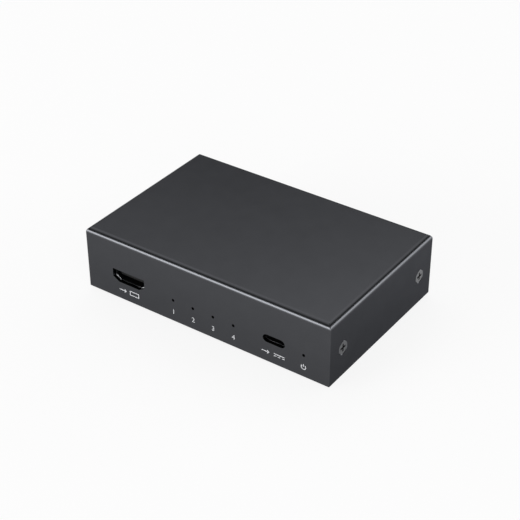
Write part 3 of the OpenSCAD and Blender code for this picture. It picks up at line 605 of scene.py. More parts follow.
class Tree:
    """A Geometry Nodes tree with named inputs, whose result becomes a plain mesh."""

    def __init__(self, name: str, inputs: dict[str, str]) -> None:
        """Starts the tree.

        Args:
            name: The tree's name.
            inputs: The socket type of each named input. All trees have a finish too.
        """
        self.tree = bpy.data.node_groups.new(name, "GeometryNodeTree")
        face = self.tree.interface
        face.new_socket("Geometry", in_out="INPUT", socket_type="NodeSocketGeometry")
        self.sockets = {key: face.new_socket(key, in_out="INPUT", socket_type="NodeSocket" + kind)
                        for key, kind in (inputs | {"Finish": "Material"}).items()}
        face.new_socket("Geometry", in_out="OUTPUT", socket_type="NodeSocketGeometry")
        self.given = self.tree.nodes.new("NodeGroupInput").outputs

    def end(self, shape: Node) -> None:
        """Ends the tree: copies become real faces, and those of the first finish take the one that is given.

        Args:
            shape: The node that gives the geometry.
        """
        real = add_node(self.tree, "GeometryNodeRealizeInstances", {"Geometry": shape.outputs[0]})
        number = add_node(self.tree, "GeometryNodeInputMaterialIndex")
        first = add_node(self.tree, "FunctionNodeCompare", {2: number.outputs[0], 3: 0},
                         data_type="INT", operation="EQUAL")
        dressed = add_node(self.tree, "GeometryNodeSetMaterial", {
            "Geometry": real.outputs[0], "Selection": first.outputs[0], "Material": self.given["Finish"]})
        add_node(self.tree, "NodeGroupOutput", {0: dressed.outputs[0]})

    def run(self, name: str, places: Sequence[Matrix], values: dict[str, object]) -> Object:
        """Runs the tree on a few points.

        Args:
            name: The new object's name.
            places: The place and turn of each point, in mm.
            values: The named inputs' values.

        Returns:
            The object with a plain mesh.
        """
        host = bpy.data.meshes.new(name + "_host")
        host.from_pydata([place.translation * MM for place in places], [], [])
        turned = host.attributes.new("turn", "FLOAT_VECTOR", "POINT")
        turned.data.foreach_set("vector", [angle for place in places for angle in place.to_euler()])
        made = put(name, host)
        modifier = made.modifiers.new("nodes", "NODES")
        modifier.node_group = self.tree
        for key, value in values.items():
            modifier[self.sockets[key].identifier] = value
        made.update_tag()
        mesh = evaluated(made)
        made.modifiers.remove(modifier)
        made.data = mesh
        mesh.name = name
        bpy.data.meshes.remove(host)
        return made


class CopyTree(Tree):
    """Puts a copy of one piece at each point, turned as the point's turn attribute says."""

    def __init__(self) -> None:
        """Builds the tree."""
        super().__init__("copies_at_places", {"Piece": "Object"})
        piece = add_node(self.tree, "GeometryNodeObjectInfo", {"Object": self.given["Piece"]},
                         transform_space="ORIGINAL")
        turn = add_node(self.tree, "GeometryNodeInputNamedAttribute", {"Name": "turn"},
                        data_type="FLOAT_VECTOR")
        spin = add_node(self.tree, "FunctionNodeEulerToRotation", {"Euler": turn.outputs["Attribute"]})
        self.end(add_node(self.tree, "GeometryNodeInstanceOnPoints", {
            "Points": self.given["Geometry"], "Instance": piece.outputs["Geometry"],
            "Rotation": spin.outputs[0]}))

    def copy(self, name: str, draft: Draft, finishes: Sequence[Finish], places: Sequence[Matrix]) -> Object:
        """Copies a drafted piece to several places.

        Args:
            name: The name of the whole.
            draft: The piece.
            finishes: Its finishes, by number.
            places: A matrix for each copy, in mm.

        Returns:
            One object with all copies.
        """
        seed = draft.build(name + "_seed", finishes)
        made = self.run(name, places, {"Piece": seed, "Finish": finishes[0].material()})
        bpy.data.objects.remove(seed)
        return made


class SinkTree(Tree):
    """An extruded heat sink: a base with a row of even fins."""

    def __init__(self) -> None:
        """Builds the tree."""
        super().__init__("finned_heat_sink", {
            "Base size": "Vector", "Base middle": "Vector", "Fin size": "Vector", "First fin": "Vector",
            "Fin step": "Vector", "Fins": "Int"})
        tree, given = self.tree, self.given
        fin = add_node(tree, "GeometryNodeMeshCube", {"Size": given["Fin size"]})
        row = add_node(tree, "GeometryNodeMeshLine", {
            "Count": given["Fins"], "Start Location": given["First fin"], "Offset": given["Fin step"]})
        fins = add_node(tree, "GeometryNodeInstanceOnPoints", {
            "Points": row.outputs[0], "Instance": fin.outputs[0]})
        block = add_node(tree, "GeometryNodeMeshCube", {"Size": given["Base size"]})
        base = add_node(tree, "GeometryNodeTransform", {
            "Geometry": block.outputs[0], "Translation": given["Base middle"]})
        whole = add_node(tree, "GeometryNodeJoinGeometry")
        for part in (fins, base):
            tree.links.new(part.outputs[0], whole.inputs[0])
        self.end(add_node(tree, "GeometryNodeInstanceOnPoints", {
            "Points": given["Geometry"], "Instance": whole.outputs[0]}))


def heading(azimuth: float, elevation: float) -> Vector:
    """The direction from the object to a place in the studio, from two angles in degrees."""
    a, e = math.radians(azimuth), math.radians(elevation)
    return Vector((math.sin(a) * math.cos(e), -math.cos(a) * math.cos(e), math.sin(e)))


@dataclass(frozen=True)
class Glow:
    """A soft bright patch of the studio's ceiling. Angles are in degrees.

    Args:
        azimuth: Where it is: 0 is in front and 90 to the right.
        elevation: Its height above the horizon.
        core: Its evenly bright radius.
        edge: The radius where it has faded out.
        level: Its brightness.
    """

    azimuth: float
    elevation: float
    core: float
    edge: float
    level: float


class Along(Enum):
    """What the floor's brightness in mirrors goes by."""

    GAP = "the distance from the object's sides"
    REAR = "the place towards the rear"


@dataclass(frozen=True)
class Ramp:
    """A smooth change of the floor's brightness in mirrors. Places are in mm.

    Args:
        along: What it goes by.
        start: Where the change begins.
        end: Where it ends.
        change: How much brighter the floor is there.
    """

    along: Along
    start: float
    end: float
    change: float


@dataclass(frozen=True)
class Softbox:
    """A soft lamp that looks at the object. Angles are in degrees.

    Args:
        name: Its name.
        azimuth: Where it stands: 0 is in front and 90 to the right.
        elevation: Its height above the horizon.
        size: Its width and height as seen from the object.
        distance: How far it stands, in mm.
        radiance: Its brightness.
    """

    name: str
    azimuth: float
    elevation: float
    size: tuple[float, float]
    distance: float
    radiance: float

    def build(self) -> None:
        """Makes the lamp. The camera doesn't see it."""
        width, height = (2 * self.distance * MM * math.tan(math.radians(s / 2)) for s in self.size)
        data = bpy.data.lights.new(self.name, "AREA")
        data.shape, data.size, data.size_y = "RECTANGLE", width, height
        data.energy = self.radiance * math.pi * width * height
        made = put(self.name, data)
        away = heading(self.azimuth, self.elevation)
        made.location = away * self.distance * MM
        made.rotation_euler = away.to_track_quat("Z", "Y").to_euler()
        made.visible_camera = False


@dataclass
class Studio:
    """The camera, the floor and the lights. Sizes are in mm and degrees."""

    place: tuple[float, float, float] = (245.2, -346.0, 298.1)
    azimuth: float = 35.256
    elevation: float = 33.821
    roll: float = -0.213
    lens: float = 94.43
    film_w: float = 36.0
    floor_r: float = 6000.0
    floor_sides: int = 96
    floor_glow: float = 0.85
    floor_card: str = "#737373"
    mirror_glow: float = 0.69
    ramps: tuple[Ramp, ...] = (
        Ramp(Along.GAP, 0.0, 28.0, 0.11), Ramp(Along.GAP, 40.0, 180.0, 2.0),
        Ramp(Along.REAR, -30.0, 80.0, 0.4))
    horizon: float = 1.92
    ring_rise: tuple[float, float] = (0.25, 0.33)
    ceiling: float = 0.215
    glows: tuple[Glow, ...] = (
        Glow(-130, 49, 9, 27, 1.25), Glow(-172, 43, 8, 25, 1.2), Glow(-84, 60, 5, 18, 0.9),
        Glow(40, 38, 14, 38, 1.0))
    softboxes: tuple[Softbox, ...] = (
        Softbox("front_softbox", -35.0, 9.0, (44.0, 18.0), 1600.0, 6.3),
        Softbox("upper_softbox", -25.0, 21.0, (26.0, 8.0), 1500.0, 4.6),
        Softbox("rear_softbox", 133.0, 9.5, (50.0, 19.0), 1600.0, 3.1))

    def camera(self) -> None:
        """Makes the camera at the photograph's viewing angle."""
        data = bpy.data.cameras.new("camera")
        data.lens, data.sensor_width = self.lens, self.film_w
        data.clip_start, data.clip_end = 0.01, 100.0
        made = put("camera", data)
        bpy.context.scene.camera = made
        turn = (Matrix.Rotation(math.radians(self.azimuth), 4, "Z")
                @ Matrix.Rotation(math.radians(90 - self.elevation), 4, "X")
                @ Matrix.Rotation(math.radians(self.roll), 4, "Z"))
        made.matrix_world = Matrix.Translation(Vector(self.place) * MM) @ turn

    def floor(self) -> None:
        """Makes the floor of matt white card, which glows for the camera and in mirrors and takes the shadow.

        It is clear from below, so that the underside can be seen.
        """
        draft = Draft()
        draft.face(circle(self.floor_r, self.floor_sides))
        made = draft.build("floor", ())
        material = bpy.data.materials.new("white_card_floor")
        made.data.materials.append(material)
        tree = cleared(material)
        path = add_node(tree, "ShaderNodeLightPath")
        seen = add_node(tree, "ShaderNodeMath", {
            0: path.outputs["Is Camera Ray"], 1: path.outputs["Is Transmission Ray"]}, operation="MAXIMUM")
        direct = add_node(tree, "ShaderNodeMath", {
            0: seen.outputs[0], 1: self.floor_glow}, operation="MULTIPLY")
        glow = add_node(tree, "ShaderNodeMath", {
            0: path.outputs["Is Glossy Ray"], 1: self.mirrored(tree), 2: direct.outputs[0]},
            operation="MULTIPLY_ADD")
        light = add_node(tree, "ShaderNodeEmission", {"Strength": glow.outputs[0]})
        card = add_node(tree, "ShaderNodeBsdfDiffuse", {"Color": linear(self.floor_card)})
        both = add_node(tree, "ShaderNodeAddShader", {0: light.outputs[0], 1: card.outputs[0]})
        shader = add_node(tree, "ShaderNodeMixShader", {
            0: add_node(tree, "ShaderNodeNewGeometry").outputs["Backfacing"], 1: both.outputs[0],
            2: add_node(tree, "ShaderNodeBsdfTransparent").outputs[0]})
        add_node(tree, "ShaderNodeOutputMaterial", {"Surface": shader.outputs[0]})

    def mirrored(self, tree: NodeTree) -> NodeSocket:
        """Adds the floor's brightness in mirrors: dim in the shade beside the object, bright far off.

        Args:
            tree: The floor material's tree.

        Returns:
            The socket that gives the brightness.
        """
        place = add_node(tree, "ShaderNodeTexCoord").outputs["Object"]
        sides = add_node(tree, "ShaderNodeVectorMath", {0: place}, operation="ABSOLUTE")
        beyond = add_node(tree, "ShaderNodeVectorMath", {
            0: sides.outputs[0], 1: box_mm("top_cover")[1] * MM}, operation="SUBTRACT")
        beside = add_node(tree, "ShaderNodeSeparateXYZ", {"Vector": beyond.outputs[0]})
        gap = add_node(tree, "ShaderNodeMath", {
            0: beside.outputs["X"], 1: beside.outputs["Y"]}, operation="MAXIMUM")
        rear = add_node(tree, "ShaderNodeSeparateXYZ", {"Vector": place})
        measures = {Along.GAP: gap.outputs[0], Along.REAR: rear.outputs["Y"]}
        level = self.mirror_glow
        for ramp in self.ramps:
            change = add_node(tree, "ShaderNodeMapRange", {
                "Value": measures[ramp.along], "From Min": ramp.start * MM, "From Max": ramp.end * MM,
                "To Max": ramp.change}, interpolation_type="SMOOTHSTEP")
            level = add_node(tree, "ShaderNodeMath", {0: level, 1: change.outputs[0]}).outputs[0]
        return level

    def sky(self) -> None:
        """Lights the room softly: a pale ring round the horizon, a dim ceiling and a few bright patches."""
        world = bpy.data.worlds.new("studio")
        bpy.context.scene.world = world
        tree = cleared(world)
        towards = add_node(tree, "ShaderNodeTexCoord").outputs["Generated"]
        rise = add_node(tree, "ShaderNodeSeparateXYZ", {"Vector": towards})
        low, high = self.ring_rise
        level = add_node(tree, "ShaderNodeMapRange", {
            "Value": rise.outputs["Z"], "From Min": low, "From Max": high,
            "To Min": self.horizon + self.ceiling, "To Max": self.ceiling}).outputs[0]
        for glow in self.glows:
            along = add_node(tree, "ShaderNodeVectorMath", {
                0: towards, 1: heading(glow.azimuth, glow.elevation)}, operation="DOT_PRODUCT")
            patch = add_node(tree, "ShaderNodeMapRange", {
                "Value": along.outputs["Value"], "From Min": math.cos(math.radians(glow.edge)),
                "From Max": math.cos(math.radians(glow.core)), "To Max": glow.level},
                interpolation_type="SMOOTHSTEP")
            level = add_node(tree, "ShaderNodeMath", {0: level, 1: patch.outputs[0]}).outputs[0]
        shader = add_node(tree, "ShaderNodeBackground", {"Strength": level})
        add_node(tree, "ShaderNodeOutputWorld", {"Surface": shader.outputs[0]})

    def build(self) -> None:
        """Makes the camera first, then the floor and the lights."""
        self.camera()
        self.floor()
        self.sky()
        for softbox in self.softboxes:
            softbox.build()
        bpy.context.scene.view_settings.view_transform = "Standard"


@dataclass
class Socket:
    """A shell, an insulator with its tongue, and two rows of contacts. The mouth is at 0 on the outward axis.

    The sizes, in mm, are the round-ended power socket's. The mouth's two numbers say how far the bore widens
    at its edge and just inside it, and the tip's are the inset and the length of the tongue's chamfer.
    """

    made: str = "drawn"
    # The drawn shell's colour carries painted shade of its slot
    finishes: tuple[Finish, ...] = (DRAWN_SHELL_PAINTED_SHADE,)
    width: float = 8.34
    height: float = 2.56
    shell_t: float = 0.3
    lip_r: float = 0.06
    lip_soft: float = 0.3
    mouth: tuple[float, float] = (0.06, 0.018)
    mouth_back: float = 0.0
    plug_depth: float = 4.9
    tube_l: float = 6.5
    floor_l: float = 6.55
    whole_l: float = 7.4
    rise: float = 3.05
    leg_l: float = 5.35
    leg_w: float = 1.0
    leg_r: float = 0.001
    leg_places: tuple[float, float] = (1.2, 4.9)
    tongue_w: float = 6.69
    tongue_t: float = 0.7
    tongue_r: float = 0.1
    tongue_back: float = 0.8
    tip: tuple[float, float] = (0.15, 0.15)
    block_w: float = 6.69
    block_up: float = 1.28
    block_edge: float = 0.1
    gap: float = 0.05
    contact_w: float = 0.35
    contact_t: float = 0.12
    contact_back: float = 0.5
    contact_ramp: float = 0.3
    contact_dip: float = 0.0
    contact_bend: float = 0.08
    foot_l: float = 0.8
    rows: tuple[tuple[float, ...], ...] = ((0.25, 1.25, 2.75), (-0.25, -1.25, -2.75))

    def outline(self, grow: float) -> Loop:
        """The outline of the space for the plug, with ends a hair less than half round.

        Args:
            grow: How far it is grown outwards.

        Returns:
            The outline.
        """
        half_h = self.height / 2 + grow
        return rectangle(self.width / 2 + grow, half_h, half_h - HAIR, 10)[0]

    def shell(self) -> Draft:
        """The shell: a tube with a rounded mouth, and four legs that pass through the board.

        Returns:
            The draft.
        """
        t, lip, back = self.shell_t, self.lip_r, self.mouth_back
        soft = lip * self.lip_soft
        rings = [moved(self.outline(grow), out=-depth) for grow, depth in (
            (t, self.tube_l), (t, back + lip), (t - soft, back + soft), (t - lip, back),
            (self.mouth[0], back), (self.mouth[1], back + soft), (0, back + lip), (0, self.tube_l))]
        draft = Draft()
        draft.sweep([*rings, rings[0]], lids=(False, False))
        for place in self.leg_places:
            for side in (-1, 1):
                self.leg(draft, side * (self.width + t) / 2, -place)
        return draft

    def leg(self, draft: Draft, middle: float, front: float) -> None:
        """Adds one straight leg.

        Args:
            draft: The shell.
            middle: The leg's place along the right axis.
            front: Where it starts along the outward axis.
        """
        half = self.leg_l / 2
        outline = moved(rectangle(self.shell_t / 2, half, self.leg_r, 1)[0], middle, -half)
        draft.sweep([moved(outline, out=out) for out in (front - self.leg_w, front)])

    def insulator(self) -> Draft:
        """The insulator: a tongue with a chamfered tip, the floor of the plug's space and a rear block.

        Returns:
            The draft.
        """
        draft = Draft()
        inset, length = self.tip
        half_w, half_h, back = self.tongue_w / 2, self.tongue_t / 2, self.tongue_back
        draft.sweep([moved(rectangle(half_w - i, half_h - i, self.tongue_r, 2)[0], out=-d)
                     for i, d in ((0, self.tube_l), (0, back + length), (inset, back))])
        draft.sweep([moved(self.outline(-self.gap), out=-d) for d in (self.floor_l, self.plug_depth)])
        half_w, half_h, edge = self.block_w / 2, (self.block_up + self.rise) / 2, self.block_edge
        draft.sweep([moved(rectangle(half_w - i, half_h - i, edge, 1)[0], up=self.block_up - half_h, out=-d)
                     for i, d in ((edge, self.whole_l), (0, self.whole_l - edge), (0, self.floor_l + edge),
                                  (edge, self.floor_l))])
        return draft

    def contact(self, row: int) -> Draft:
        """One contact: a strip along the tongue, down the rear and along the board.

        Args:
            row: 1 for the upper row, -1 for the lower one.

        Returns:
            The draft.
        """
        bend, half_t = self.contact_bend, self.contact_t / 2
        level = row * (self.tongue_t / 2 + half_t)
        front = -self.tongue_back - self.contact_back
        rear = -self.whole_l - self.gap - half_t
        foot = half_t - self.rise
        tip = [(level, front)]
        if self.contact_dip:
            tip = [(level - row * self.contact_dip, front), (level, front - self.contact_ramp)]
        path = flat(*tip, (level, rear + bend), (level - bend, rear), (foot + bend, rear),
                    (foot, rear - bend), (foot, rear - self.foot_l))
        draft = Draft()
        draft.prism(ribbon(path, self.contact_t), -self.contact_w / 2, self.contact_w / 2, sideways=True)
        return draft

    def seat(self, name: str) -> tuple[float, float]:
        """The x and z of a socket's middle, from its packed shell."""
        return middle_mm(name + "_shell").x, box_mm(name + "_shell")[1].z - self.height / 2 - self.shell_t

    def build(self, name: str, place: Matrix, copies: CopyTree) -> None:
        """Builds the socket and settles its pieces.

        Args:
            name: The start of its nodes' names.
            place: Its place, in mm.
            copies: The tree that copies the contacts.
        """
        shell = self.shell().build(f"{name}_shell_{self.made}", self.finishes, place)
        settle(shell, self.finishes[0], name + "_shell")
        insulator = self.insulator().build(name + "_insulator_moulded", [TONGUE], place)
        settle(insulator, TONGUE, name + "_insulator")
        for side, row, across in zip(("upper", "lower"), (1, -1), self.rows):
            places = [place @ Matrix.Translation((x, 0, 0)) for x in across]
            contacts = copies.copy(f"{name}_contacts_{side}", self.contact(row), [GOLD], places)
            settle(contacts, GOLD, name + "_contacts")


@dataclass
class VideoSocket(Socket):
    """The full-size video socket: wide at the top, with a hood, two spring leaves and lips that are bent out.

    The flare's section and the leaf's path are pairs, in mm: how far out from the slanting side and how far
    along the outward axis, and how far under the roof and behind the mouth. A leg's taper is its length and
    its share of the leg's width on either side.
    """

    made: str = "formed"
    # The shell's nickel carries painted shade; the lips keep its lit colour
    finishes: tuple[Finish, ...] = (SHADED_NICKEL_SHELL, LIT_NICKEL_LIP)
    width: float = 14.0
    height: float = 4.55
    bevel_w: float = 2.3
    bevel_h: float = 1.55
    corner_r: float = 0.3
    shell_t: float = 0.25
    mouth: tuple[float, float] = (0.036, 0.012)
    mouth_back: float = 0.15
    flare: tuple[tuple[float, float], ...] = ((0.1, -0.15), (0.44, 0.0), (0.44, -0.1), (0.1, -0.25))
    plug_depth: float = 6.9
    tube_l: float = 9.0
    floor_l: float = 9.0
    whole_l: float = 12.0
    leg_w: float = 1.2
    leg_taper: tuple[float, float] = (0.4, 0.25)
    leg_places: tuple[float, float] = (2.4, 9.6)
    tongue_w: float = 11.2
    tongue_t: float = 1.2
    tongue_back: float = 1.0
    tip: tuple[float, float] = (0.175, 0.25)
    block_w: float = 13.9
    block_up: float = 2.225
    contact_w: float = 0.3
    contact_t: float = 0.15
    contact_back: float = 0.4
    contact_dip: float = 0.08
    contact_bend: float = 0.1
    rows: tuple[tuple[float, ...], ...] = (
        tuple(n - 4.5 for n in range(10)), tuple(n - 4.0 for n in range(9)))
    leaf_w: float = 1.6
    leaf_x: float = 3.4
    leaf_t: float = 0.18
    leaf: tuple[tuple[float, float], ...] = ((0.02, 5.7), (0.14, 4.9), (0.4, 3.4), (0.36, 2.9), (0.12, 2.1))

    def outline(self, grow: float) -> Loop:
        """The outline of the space for the plug, wide at the top.

        Args:
            grow: How far it is grown outwards.

        Returns:
            The outline with round corners.
        """
        w, h, low = self.width / 2, self.height / 2, self.bevel_h - self.height / 2
        corners = flat((self.bevel_w - w, -h), (w - self.bevel_w, -h), (w, low), (w, h), (-w, h), (-w, low))
        return rounded(grown(corners, grow), self.corner_r)

    def shell(self) -> Draft:
        """Adds the lips, the hood over the rear and the spring leaves to the tube and its legs.

        Returns:
            The draft.
        """
        draft = super().shell()
        w, h, t = self.width / 2, self.height / 2, self.shell_t
        for side in (-1, 1):
            ends = flat((side * w, self.bevel_h - h), (side * (w - self.bevel_w), -h))
            along = (ends[1] - ends[0]).normalized()
            away = Vector((-side * along.y, -abs(along.x), 0))
            section = [away * m + Vector((0, 0, out)) for m, out in self.flare]
            if geometry.normal(section).dot(along) < 0:
                section.reverse()
            draft.sweep([[end + p for p in section] for end in ends], finish=1)
        draft.prism(flat((-w - t, -self.rise), (-w, -self.rise), (-w, h), (w, h), (w, -self.rise),
                         (w + t, -self.rise), (w + t, h + t), (-w - t, h + t)), -self.whole_l, -self.tube_l)
        leaf = ribbon(flat(*((h - under, -back) for under, back in self.leaf)), self.leaf_t)
        for middle in (-self.leaf_x, self.leaf_x):
            draft.prism(leaf, middle - self.leaf_w / 2, middle + self.leaf_w / 2, sideways=True)
        return draft

    def leg(self, draft: Draft, middle: float, front: float) -> None:
        """Adds one leg with a tapered tip.

        Args:
            draft: The shell.
            middle: The leg's place along the right axis.
            front: Where it starts along the outward axis.
        """
        length, share = self.leg_taper
        low, rear, inset = -self.leg_l, front - self.leg_w, share * self.leg_w
        outline = flat((0, rear), (low + length, rear), (low, rear + inset), (low, front - inset),
                       (low + length, front), (0, front))
        draft.prism(outline, middle - self.shell_t / 2, middle + self.shell_t / 2, sideways=True)


@dataclass
class CoverScrew:
    """A countersunk screw with a cross recess. Sizes in mm, with its own axis outwards.

    The recess is given as pairs: how far the cross is grown, and how deep it is there.
    """

    thread_d: float = 3.0
    thread_tip: float = 0.3
    head_d: float = 5.3
    length: float = 5.0
    sink: float = 0.08
    edge: float = 0.14
    arm: float = 1.537
    bar_w: float = 0.7
    recess: tuple[tuple[float, float], ...] = ((0.05, 0.0), (0.0, 0.06), (-0.12, 0.736), (-0.25, 0.92))

    def cross(self, grow: float) -> Loop:
        """The outline of the cross recess.

        Args:
            grow: How far it is grown outwards.

        Returns:
            Its twelve corners.
        """
        half = self.bar_w / 2
        arm = flat((half, -half), (self.arm, -half), (self.arm, half))
        turns = [Matrix.Rotation(math.radians(90 * i), 3, "Z") for i in range(4)]
        return grown([turn @ p for turn in turns for p in arm], grow)

    def draft(self) -> Draft:
        """The screw, with its head's face just below 0 on the outward axis.

        Returns:
            The draft.
        """
        thread, head, tip, top = self.thread_d / 2, self.head_d / 2, self.thread_tip, -self.sink
        draft = Draft()
        loops = [moved(circle(radius, ROUND_SIDES), out=w) for radius, w in (
            (thread - tip, -self.length), (thread, tip - self.length), (thread, top - head + thread),
            (head, top - self.edge * 1.5), (head, top - self.edge), (head - self.edge, top))]
        recess = [moved(self.cross(grow), out=top - depth) for grow, depth in self.recess]
        draft.sweep(loops, lids=(True, False))
        draft.plate(loops[-1], [recess[0]])
        draft.sweep(recess, finish=1, lids=(False, True))
        return draft


class Marks(Draft):
    """Thin printed strokes about the middle line of a row of marks. Sizes in mm."""

    def __init__(self, thickness: float, stroke: float = 0.32) -> None:
        """Starts with nothing printed.

        Args:
            thickness: The ink's thickness.
            stroke: The strokes' width.
        """
        super().__init__()
        self.thickness = thickness
        self.stroke = stroke

    def line(self, at: float, *points: tuple[float, float]) -> None:
        """Prints one stroke through points that are given from a place along the row."""
        self.prism(ribbon(moved(flat(*points), at), self.stroke), -self.thickness, 0.0)

    def arrow(self, at: float) -> None:
        """Prints an arrow that points right."""
        self.line(at, (-1.7, 0.0), (0.95, 0.0))
        self.prism(moved(flat((0.75, -0.85), (1.75, 0.0), (0.75, 0.85)), at), -self.thickness, 0.0)

    def screen(self, at: float, half_w: float, half_h: float) -> None:
        """Prints the outline of a flat screen.

        Args:
            at: Its place along the row.
            half_w: Half its width.
            half_h: Half its height.
        """
        outer, inner = (moved(rectangle(half_w - inset, half_h - inset, 0.1, 1)[0], at)
                        for inset in (0.0, self.stroke))
        low_outer, low_inner = (moved(loop, out=-self.thickness) for loop in (outer, inner))
        self.plate(outer, [inner])
        self.plate(low_outer, [low_inner], up=False)
        self.band(low_outer, outer)
        self.band(inner, low_inner)

    def direct_current(self, at: float) -> None:
        """Prints the sign for direct current: a line over three dashes."""
        self.line(at, (-2.3, 0.42), (2.3, 0.42))
        for middle in (-1.75, 0.0, 1.75):
            self.line(at, (middle - 0.55, -0.42), (middle + 0.55, -0.42))

    def standby(self, at: float, radius: float) -> None:
        """Prints the standby sign: a ring with a gap at its top and a bar in the gap.

        Args:
            at: Its place along the row.
            radius: The ring's outer radius.
        """
        turns = [math.radians(128 + 284 * i / 20) for i in range(21)]
        middle = radius - self.stroke / 2
        self.line(at, *((middle * math.cos(t), middle * math.sin(t)) for t in turns))
        self.line(at, (0.0, 0.1), (0.0, radius + 0.15))


@dataclass
class Opening:
    """A hole through a wall of the cover.

    Args:
        outline: Gives the hole's outline, grown by a distance.
        right: Its place along the wall.
        up: Its height.
        profile: For each ring from the outer face inwards, how deep it lies, how far it is grown and
            how far its lowest point is raised.
    """

    outline: Outline
    right: float
    up: float
    profile: list[tuple[float, float, float]]

    def rings(self, face: float) -> list[Loop]:
        """The hole's rings in the wall.

        Args:
            face: The place of the wall's outer face along its outward axis.

        Returns:
            The rings from the outer face to the inner one.
        """
        found = []
        for depth, grow, rise in self.profile:
            loop = self.outline(grow)
            low = min(p.y for p in loop)
            found.append([p + Vector((self.right, self.up + rise * max(0.0, p.y / low), face - depth))
                          for p in loop])
        return found


@dataclass
class Case:
    """The cover with its cut-outs and print, the base plate, the screws and the feet. Sizes in mm.

    The cut-outs' lip is given as pairs: how deep it lies, and how far its lowest point is raised there.
    """

    wall: float = 1.2
    edge_r: float = 2.0
    edge_steps: int = 14
    corner_r: float = 0.25
    inner_r: float = 0.8
    rim_break: float = 0.12
    hole_lip: tuple[tuple[float, float], ...] = ((0.0, 0.0), (0.025, 0.22), (0.07, 0.27), (1.2, 0.27))
    cutout_gap: float = 0.2
    screw_gap: float = 0.12
    screw_edge: float = 0.08
    lamp_hole_d: float = 1.2
    lamp_rise: float = 2.5
    print_t: float = 0.01
    mark_up: float = 5.25
    mark_h: float = 2.0
    foot_edge: float = 0.25
    foot_rim: float = 0.08
    video: VideoSocket = field(default_factory=VideoSocket)
    power: Socket = field(default_factory=Socket)
    screw: CoverScrew = field(default_factory=CoverScrew)

    def __post_init__(self) -> None:
        """Reads the case's outer box and the places of what looks through it from the frame."""
        low, high = box_mm("top_cover")
        self.half_w, self.half_d = high.x, high.y - self.print_t
        self.base, self.top = low.z, high.z
        self.mouth = -box_mm("video_in_shell")[0].y
        self.video_x, self.video_up = self.video.seat("video_in")
        self.power_x, self.power_up = self.power.seat("power_in")
        self.outputs = [self.video.seat(f"output_{n}")[0] for n in range(1, 5)]
        self.lamps = [middle_mm(f"status_lamp_{n}").x for n in range(1, 5)] + [middle_mm("power_lamp").x]
        self.lamp_up = box_mm("power_lamp_holder")[0].z + self.lamp_rise
        self.screw_y = box_mm("cover_screws")[1].y - self.screw.head_d / 2
        self.screw_up = middle_mm("cover_screws").z

    def openings(self, facing: Facing) -> list[Opening]:
        """The holes in one wall.

        Args:
            facing: The wall.

        Returns:
            Its holes.
        """
        video, power = ([(depth, self.cutout_gap + socket.shell_t, rise) for depth, rise in self.hole_lip]
                        for socket in (self.video, self.power))
        if facing is Facing.FRONT:
            lamp = [(depth, self.lamp_hole_d / 2, 0.0) for depth in (0.0, self.wall)]
            found = [Opening(lambda g: circle(g, LAMP_SIDES), x, self.lamp_up, lamp) for x in self.lamps]
            return found + [Opening(self.video.outline, self.video_x, self.video_up, video),
                            Opening(self.power.outline, self.power_x, self.power_up, power)]
        if facing is Facing.REAR:
            return [Opening(self.video.outline, -x, self.video_up, video) for x in self.outputs]
        rim, sink = self.screw.head_d / 2 + self.screw_gap, self.screw.sink
        bore = [(0.0, rim + self.screw_edge, 0.0), (self.screw_edge, rim, 0.0), (sink + 0.01, rim, 0.0),
                (self.wall, rim + sink - self.wall, 0.0)]
        return [Opening(lambda g: circle(g, ROUND_SIDES), y, self.screw_up, bore)
                for y in (-self.screw_y, self.screw_y)]

    def skin(self, draft: Draft, inset: float, low: float, edge_r: float, corner_r: float) -> Loop:
        """Adds the outer or the inner skin, with exact shading on its rounds. Plates fill the walls later.

        Args:
            draft: The cover.
            inset: How far the skin lies inside the outer box: 0 for the outer one.
            low: Its lowest level.
            edge_r: The radius of its upper edges.
            corner_r: The radius of its vertical corners.

        Returns:
            Its lowest outline, counter-clockwise as seen from above.
        """
        angles = [math.radians(90 * i / self.edge_steps) for i in range(self.edge_steps + 1)]
        levels = [(inset, low, 0.0)] + [
            (inset + edge_r * (1 - math.cos(a)), self.top - inset - edge_r * (1 - math.sin(a)), a)
            for a in angles]
        rings = []
        for inwards, level, tilt in levels:
            points, outward = rectangle(self.half_w - inwards, self.half_d - inwards, corner_r)
            ways = [n * math.cos(tilt) + Vector((0, 0, math.sin(tilt))) for n in outward]
            rings.append((moved(points, out=level), ways))
        lowest = rings[0][0]
        if inset:
            rings = [(points[::-1], [-n for n in ways[::-1]]) for points, ways in rings]
        for i, ((first, ways), (second, more)) in enumerate(zip(rings, rings[1:])):
            draft.band(first, second, (ways, more), corners_only=i == 0)
        draft.face(*rings[-1])
        return lowest

    def cover(self) -> Object:
        """Builds the five-sided cover: its two skins, its lower rim, and its walls with their holes.

        Returns:
            The cover.
        """
        draft = Draft()
        outer = self.skin(draft, 0.0, self.base + self.rim_break, self.edge_r, self.corner_r)
        inner = self.skin(draft, self.wall, self.base, self.inner_r, self.inner_r)
        broken = rectangle(self.half_w - self.rim_break, self.half_d - self.rim_break, self.corner_r)[0]
        rim = moved(broken, out=self.base)
        draft.band(rim, outer)
        draft.band(inner, rim)
        for facing in (Facing.FRONT, Facing.REAR, Facing.RIGHT, Facing.LEFT):
            draft.turn = facing.at(0, 0, 0)
            face, half = self.half_w, self.half_d
            if facing in (Facing.FRONT, Facing.REAR):
                face, half = half, face
            rings = [opening.rings(face) for opening in self.openings(facing)]
            for number, level, reach, low, high in (
                    (0, face, half - self.corner_r, self.base + self.rim_break, self.top - self.edge_r),
                    (-1, face - self.wall, half - self.wall - self.inner_r, self.base,
                     self.top - self.wall - self.inner_r)):
                edge = flat((-reach, low), (reach, low), (reach, high), (-reach, high))
                draft.plate(moved(edge, out=level), [ring[number] for ring in rings], up=number == 0)
            for ring in rings:
                draft.sweep(ring, lids=(False, False))
        return draft.build("cover_shell", [CASE])

